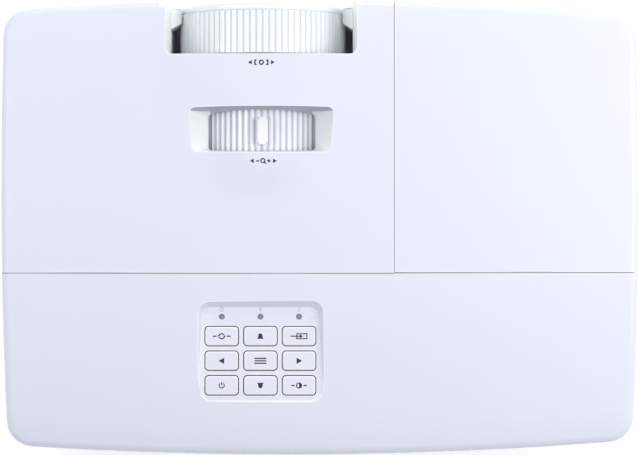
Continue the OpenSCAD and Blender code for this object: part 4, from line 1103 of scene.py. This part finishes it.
class Icon(Enum):
    """Generic pictograms, in millimetres round their middle."""

    LEFT = "left"
    RIGHT = "right"
    UP = "up"
    DOWN = "down"
    POWER = "power"
    MENU = "menu"
    RESYNC = "resync"
    SOURCE = "source"
    MODE = "mode"
    FOCUS = "focus"
    ZOOM = "zoom"
    LAMP = "lamp"
    HEAT = "heat"
    CROSS = "cross"

    def loops(self, scale: float = 1.0) -> list[Loop]:
        """Draws the pictogram.

        Args:
            scale: Its size as a share of the full one.

        Returns:
            The filled outlines.
        """
        arrow = [(-1.5, 0.0), (1.2, -1.5), (1.2, 1.5)]
        half = [(1.55, -1.3), (1.55, -0.95), (1.2, -0.8), (0.95, 0.75), (0.6, 1.25)]
        keystone = [(-1.55, -1.3), *half, (0.0, 1.4), *((-x, y) for x, y in half[:0:-1])]
        sweep = [sector(1.5, 0.95, 20, 150), [(-1.95, 0.5), (-0.5, 0.95), (-1.4, -0.5)]]
        bracket = [(0, 1.5), (1.4, 1.5), (1.4, 0.8), (0.75, 0.8), (0.75, -0.8), (1.4, -0.8),
                   (1.4, -1.5), (0, -1.5)]
        shapes = {
            Icon.LEFT: [arrow],
            Icon.RIGHT: [turned(arrow, 180)],
            Icon.UP: [keystone],
            Icon.DOWN: [turned(keystone, 180)],
            Icon.POWER: [sector(1.5, 1.0, 125, 415), bar(0, 0.2, 0, 1.65, 0.5)],
            Icon.MENU: [bar(-2.9, y, 2.9, y, 0.62) for y in (-1.2, 0, 1.2)],
            Icon.RESYNC: [turned(part, a) for a in (0, 180) for part in sweep]
            + [bar(x, 0, x + 1.9, 0, 0.6) for x in (-4.4, 2.5)],
            Icon.SOURCE: [bar(-1.3, y, 4.1, y, 0.5) for y in (1.2, -1.2)]
            + [bar(x, -0.95, x, 0.95, 0.5) for x in (-1.05, 3.85)]
            + [bar(-4.2, 0, 0.6, 0, 0.55), [(0.4, -0.9), (2.1, 0), (0.4, 0.9)]],
            Icon.MODE: [sector(1.5, 1.0, 90, 270), sector(1.5, 0, -90, 90)]
            + [bar(x, 0, x + 1.6, 0, 0.6) for x in (-3.8, 2.2)],
            Icon.FOCUS: [turned(bracket, 0, (-3.9, 0)), turned(bracket, 180, (3.9, 0))]
            + [sector(1.45, 0.7, a, a + 180) for a in (0, 180)],
            Icon.ZOOM: [sector(1.4, 0.75, a, a + 180, (-0.3, 0.15)) for a in (0, 180)]
            + [bar(0.5, -0.65, 1.4, -1.55, 0.7), bar(-3.9, 0, -2.2, 0, 0.7),
               bar(2.1, 0, 3.9, 0, 0.7), bar(3.0, -0.9, 3.0, 0.9, 0.7)],
            Icon.LAMP: [disc(0.75, (0, 0.25)), bar(0, -0.5, 0, -1.15, 0.6)],
            Icon.HEAT: [bar(0, -0.3, 0, 1.1, 0.4), disc(0.5, (0, -0.6))]
            + [bar(0.6, y, 1.1, y, 0.25) for y in (0.8, 0.3)],
            Icon.CROSS: [bar(-1.7, 0, 1.7, 0, 0.55), bar(0, -1.7, 0, 1.7, 0.55)],
        }
        return [[(x * scale, y * scale) for x, y in loop] for loop in shapes[self]]


class Ground:
    """Finds the height of a CAD node's surface under a place.

    Args:
        frame: The loaded frame.
        node: Name of the node.
    """

    def __init__(self, frame: dict, node: str) -> None:
        mesh = frame["nodes"][node].data
        points = [v.co.copy() for v in mesh.vertices]
        self.tree = BVHTree.FromPolygons(points, [tuple(p.vertices) for p in mesh.polygons])

    def height(self, x: float, y: float) -> float:
        """Returns the height of the highest surface in millimetres.

        Args:
            x: Place across in millimetres.
            y: Place along in millimetres.

        Returns:
            The height, or 0 where there is no surface.
        """
        hit = self.tree.ray_cast(Vector((x * MM, y * MM, 1.0)), Vector((0, 0, -1)))[0]
        return 0.0 if hit is None else hit.z / MM

    def place(self, x: float, y: float) -> Place:
        """Returns a mapping from flat marks to this surface.

        Args:
            x: Middle of the mark across.
            y: Middle of the mark along.

        Returns:
            The mapping of (u, v, rise).
        """
        return lambda u, v, rise: (x + u, y + v, self.height(x + u, y + v) + rise)


def flat_face(x: float, y: float, z: float, down: bool) -> Place:
    """Returns a mapping to a plane that faces down, or else the rear.

    Args:
        x: Middle across.
        y: Middle along.
        z: Middle height.
        down: Whether it faces down.

    Returns:
        The mapping of (u, v, rise).
    """
    if down:
        return lambda u, v, rise: (x + u, y - v, z - rise)
    return lambda u, v, rise: (x - u, y - rise, z + v)


# How far prints reach into the surface under them, in millimetres
PRINT_SINK = 0.02


@dataclass(frozen=True)
class Mark:
    """A thin raised print made of filled outlines.

    Args:
        name: Name of the piece.
        loops: Outlines in millimetres.
        place: Mapping to the surface.
        body: Body that carries the mark.
        finish: Finish of the mark.
        slot: Material slot of the record; not used.
        thick: Thickness in millimetres.
    """

    name: str
    loops: Sequence[Loop]
    place: Place
    body: str
    finish: Finish = INK
    slot: str = "case_white"
    thick: float = 0.02

    def build(self) -> None:
        """Makes the piece."""
        points: list[Vector] = []
        faces: list[tuple[int, ...]] = []
        for loop in self.loops:
            area = sum(a[0] * b[1] - b[0] * a[1] for a, b in zip(loop, loop[1:] + loop[:1]))
            outline = loop if area > 0 else loop[::-1]
            base = len(points)
            n = len(outline)
            for rise in (self.thick, -PRINT_SINK):
                points += [Vector(self.place(u, v, rise)) * MM for u, v in outline]
            for tri in tessellate_polygon([[Vector((u, v, 0)) for u, v in outline]]):
                a, b, c = (Vector(outline[k]) for k in tri)
                turn = (b - a).cross(c - a)
                faces.append(tuple(base + k for k in (tri if turn > 0 else tri[::-1])))
            for k in range(n):
                after = (k + 1) % n
                faces.append((base + k, base + n + k, base + n + after, base + after))
        add_piece(self.name, points, faces, self.finish, self.body)
        LOG.info("%s printed on %s", self.name, self.body)


def add_piece(
    name: str, points: Iterable[Vector], faces: Sequence[Sequence[int]], finish: Finish, body: str,
) -> None:
    """Adds a mesh piece that rides on a body.

    Args:
        name: Name of the piece.
        points: Vertices in metres.
        faces: Faces as vertex numbers.
        finish: Finish of the piece.
        body: Body that carries it.
    """
    mesh = bpy.data.meshes.new(name)
    mesh.from_pydata([tuple(p) for p in points], [], faces)
    mesh.materials.append(finish.material())
    mesh.update()
    piece = bpy.data.objects.new(name, mesh)
    bpy.context.scene.collection.objects.link(piece)
    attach(piece, body)


@dataclass(frozen=True)
class LapStrip:
    """The narrow lap of the case that shows in a gap of the top, coloured grey as painted shade of
    the gap.

    Args:
        name: Name of the piece.
        start: Middle of one end in millimetres.
        end: Middle of the other end.
        gap: Width of the gap.
        sink: Depth of its top under the case top.
        play: Width by which the strip is narrower than the gap.
        thick: Thickness.
    """

    name: str
    start: Flat
    end: Flat
    gap: float
    sink: float = 0.7
    play: float = 0.06
    thick: float = 0.5

    def build(self) -> None:
        """Makes the strip along the crowned top."""
        steps = 48
        (x0, y0), (x1, y1) = self.start, self.end
        length = math.hypot(x1 - x0, y1 - y0)
        half = (self.gap - self.play) / 2
        dx, dy = (y0 - y1) / length * half, (x1 - x0) / length * half
        points: list[Vector] = []
        for k in range(steps + 1):
            x, y = x0 + (x1 - x0) * k / steps, y0 + (y1 - y0) * k / steps
            z = FORM.top(x, y) - self.sink
            points += [
                Vector((x + side * dx, y + side * dy, level)) * MM
                for side, level in ((1, z), (-1, z), (-1, z - self.thick), (1, z - self.thick))
            ]
        faces: list[tuple[int, ...]] = [(3, 2, 1, 0), tuple(4 * steps + k for k in range(4))]
        for k in range(0, 4 * steps, 4):
            for c in range(4):
                after = (c + 1) % 4
                faces.append((k + c, k + after, k + 4 + after, k + 4 + c))
        # the grey of the strip is painted shade of the gap
        add_piece(self.name, points, faces, LAP, "chassis")
        LOG.info("%s laid into its gap", self.name)


@dataclass(frozen=True)
class BayWeb:
    """The moulded web that closes the front of the gap beside the focus ring.

    Args:
        side: -1 for the left web and 1 for the right one.
        reach: Distance of the bay's wall from the lens axis.
        clear: Radius that stays free for the ring.
        top: Height of the web at the wall.
        ring_top: Height of the web at the ring.
        low: Height of its foot.
        rear: Place of its rear face at the wall.
        front: Place of its front face.
        slant: How much further forward the rear face is at the ring.
    """

    side: int
    reach: float = 45.25
    clear: float = 43.0
    top: float = 71.4
    ring_top: float = 65.0
    low: float = 50.5
    rear: float = 98.6
    front: float = 108.6
    slant: float = 3.4

    def build(self) -> None:
        """Makes the web."""
        steps = 10
        axis_z = LENS_AXIS[2] / MM
        outline = [(self.reach, self.low), (self.reach, self.top)]
        for k in range(steps + 1):
            z = self.ring_top + (self.low - self.ring_top) * k / steps
            outline.append((math.sqrt(self.clear**2 - (z - axis_z) ** 2), z))
        width = self.reach - min(x for x, _ in outline)
        rear = [self.rear + self.slant * (self.reach - x) / width for x, _ in outline]
        n = len(outline)
        points = [
            Vector((FORM.lens_x + self.side * x, y, z)) * MM
            for (x, z), y in zip(outline * 2, rear + [self.front] * n)
        ]
        walls = [(k, (k + 1) % n, n + (k + 1) % n, n + k) for k in range(n)]
        caps = [tuple(range(n - 1, -1, -1)), tuple(range(n, 2 * n))]
        faces = [f if self.side > 0 else f[::-1] for f in walls + caps]
        label = "left" if self.side < 0 else "right"
        # the web carries the painted light of the bay walls
        add_piece(f"bay_web_{label}", points, faces, POCKET, "chassis")
        LOG.info("%s web of the lens bay built", label)


@dataclass(frozen=True)
class Keypad:
    """Prints on the keys and next to the lights and rings.

    Args:
        frame: The loaded frame.
        middle_x: Middle of the lights across, in millimetres.
        lights_y: Place of their prints along.
        pitch: Spacing of the lights.
    """

    frame: dict
    middle_x: float = -29.4
    lights_y: float = -40.4
    pitch: float = 19.0

    def build(self) -> None:
        """Makes all prints of the top."""
        for icon in (Icon.RESYNC, Icon.UP, Icon.SOURCE, Icon.LEFT, Icon.MENU, Icon.RIGHT,
                     Icon.POWER, Icon.DOWN, Icon.MODE):
            name = f"key_{icon.value}"
            low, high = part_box(name)
            x, y = (low.x + high.x) / 2 / MM, (low.y + high.y) / 2 / MM
            place = Ground(self.frame, name).place(x, y)
            Mark(f"{name}_print", icon.loops(), place, name, INK, "key_white").build()
        top = Ground(self.frame, "upper_case")
        for k, icon in enumerate((Icon.POWER, Icon.LAMP, Icon.HEAT)):
            place = top.place(self.middle_x + (k - 1) * self.pitch, self.lights_y)
            Mark(f"light_{icon.value}_print", icon.loops(0.75), place, "chassis", PALE_INK).build()
        arrow = [(-1.05, 0.0), (0.8, -1.1), (0.8, 1.1)]
        arrows = [turned(arrow, 0, (-5.5, 0)), turned(arrow, 180, (5.5, 0))]
        for icon, x, y in ((Icon.FOCUS, -28.8, 80.8), (Icon.ZOOM, -27.8, 32.5)):
            loops = icon.loops(0.9) + arrows
            Mark(f"{icon.value}_ring_print", loops, top.place(x, y), "chassis").build()


# Thickness of the dark faces of painted shade that stand for holes, in millimetres
HOLE_THICK = 0.03


@dataclass(frozen=True)
class RearSockets:
    """Contact holes of the plug sockets, as dark prints of painted shade.

    Args:
        hole: Radius of a contact hole in millimetres.
    """

    hole: float = 0.5

    def plug_holes(self, node: str, middle: float, rows: Sequence[int], pitch: Flat) -> None:
        """Adds the contact holes of one plug socket as dark prints of painted shade.

        Args:
            node: CAD node of the socket.
            middle: Middle of the socket across.
            rows: Holes in each row from the top.
            pitch: Spacing across and up.
        """
        low, high = in_mm(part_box(node))
        top = (len(rows) - 1) / 2
        places = [((k - (n - 1) / 2) * pitch[0], (top - r) * pitch[1])
                  for r, n in enumerate(rows) for k in range(n)]
        loops = [disc(self.hole, place, 12) for place in places]
        place = flat_face(middle, low.y, (low.z + high.z) / 2, down=False)
        Mark(f"{node}_holes_{round(middle)}", loops, place, "chassis", HOLE, "black_plastic",
             HOLE_THICK).build()

    def build(self) -> None:
        """Makes the holes of all plug sockets."""
        low, high = in_mm(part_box("vga_sockets"))
        for middle in (low.x + FORM.vga_inset, high.x - FORM.vga_inset):
            self.plug_holes("vga_sockets", middle, (5, 5, 5), (2.3, 2.0))
        low, high = in_mm(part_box("serial_socket"))
        self.plug_holes("serial_socket", (low.x + high.x) / 2, (5, 4), (2.75, 2.8))


@dataclass(frozen=True)
class ScrewHeads:
    """Cross recesses in the heads of the case screws, seen from below, as dark prints of painted
    shade.

    Args:
        places: Middles of the heads in millimetres.
    """

    places: Sequence[Flat] = (
        (-146.5, -88.7), (-146.5, 20), (-84, 98), (146.5, -88.7), (146.5, -34), (24, -40),
        (138, 86),
    )

    def build(self) -> None:
        """Makes the recesses."""
        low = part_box("case_screws")[0].z / MM
        for k, (x, y) in enumerate(self.places):
            place = flat_face(x, y, low, down=True)
            Mark(f"screw_{k}_recess", Icon.CROSS.loops(), place, "chassis", HOLE, "bare_steel",
                 HOLE_THICK).build()


def gap_laps() -> tuple[LapStrip, LapStrip]:
    """Returns the laps in the gap along the lamp cover and in the one behind it."""
    seam = FORM.seam_x + FORM.seam_gap / 2
    crease = FORM.crease_y + FORM.crease_gap / 2
    return (
        LapStrip("seam_lap", (seam, FORM.crease_y + 0.9), (seam, FORM.half_d - 4.5), FORM.seam_gap),
        LapStrip("crease_lap", (FORM.seam_x + 0.1, crease), (FORM.half_w - 3.6, crease),
                 FORM.crease_gap, sink=1.5),
    )


def main() -> None:
    """Builds the whole scene."""
    logging.basicConfig(level=logging.INFO, format="%(message)s")
    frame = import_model()
    Stage().build()
    CarriedNodes(frame).build()
    webs = (BayWeb(-1), BayWeb(1))
    for piece in (*gap_laps(), *webs, Keypad(frame), RearSockets(), ScrewHeads()):
        piece.build()


if __name__ == "__main__":
    main()
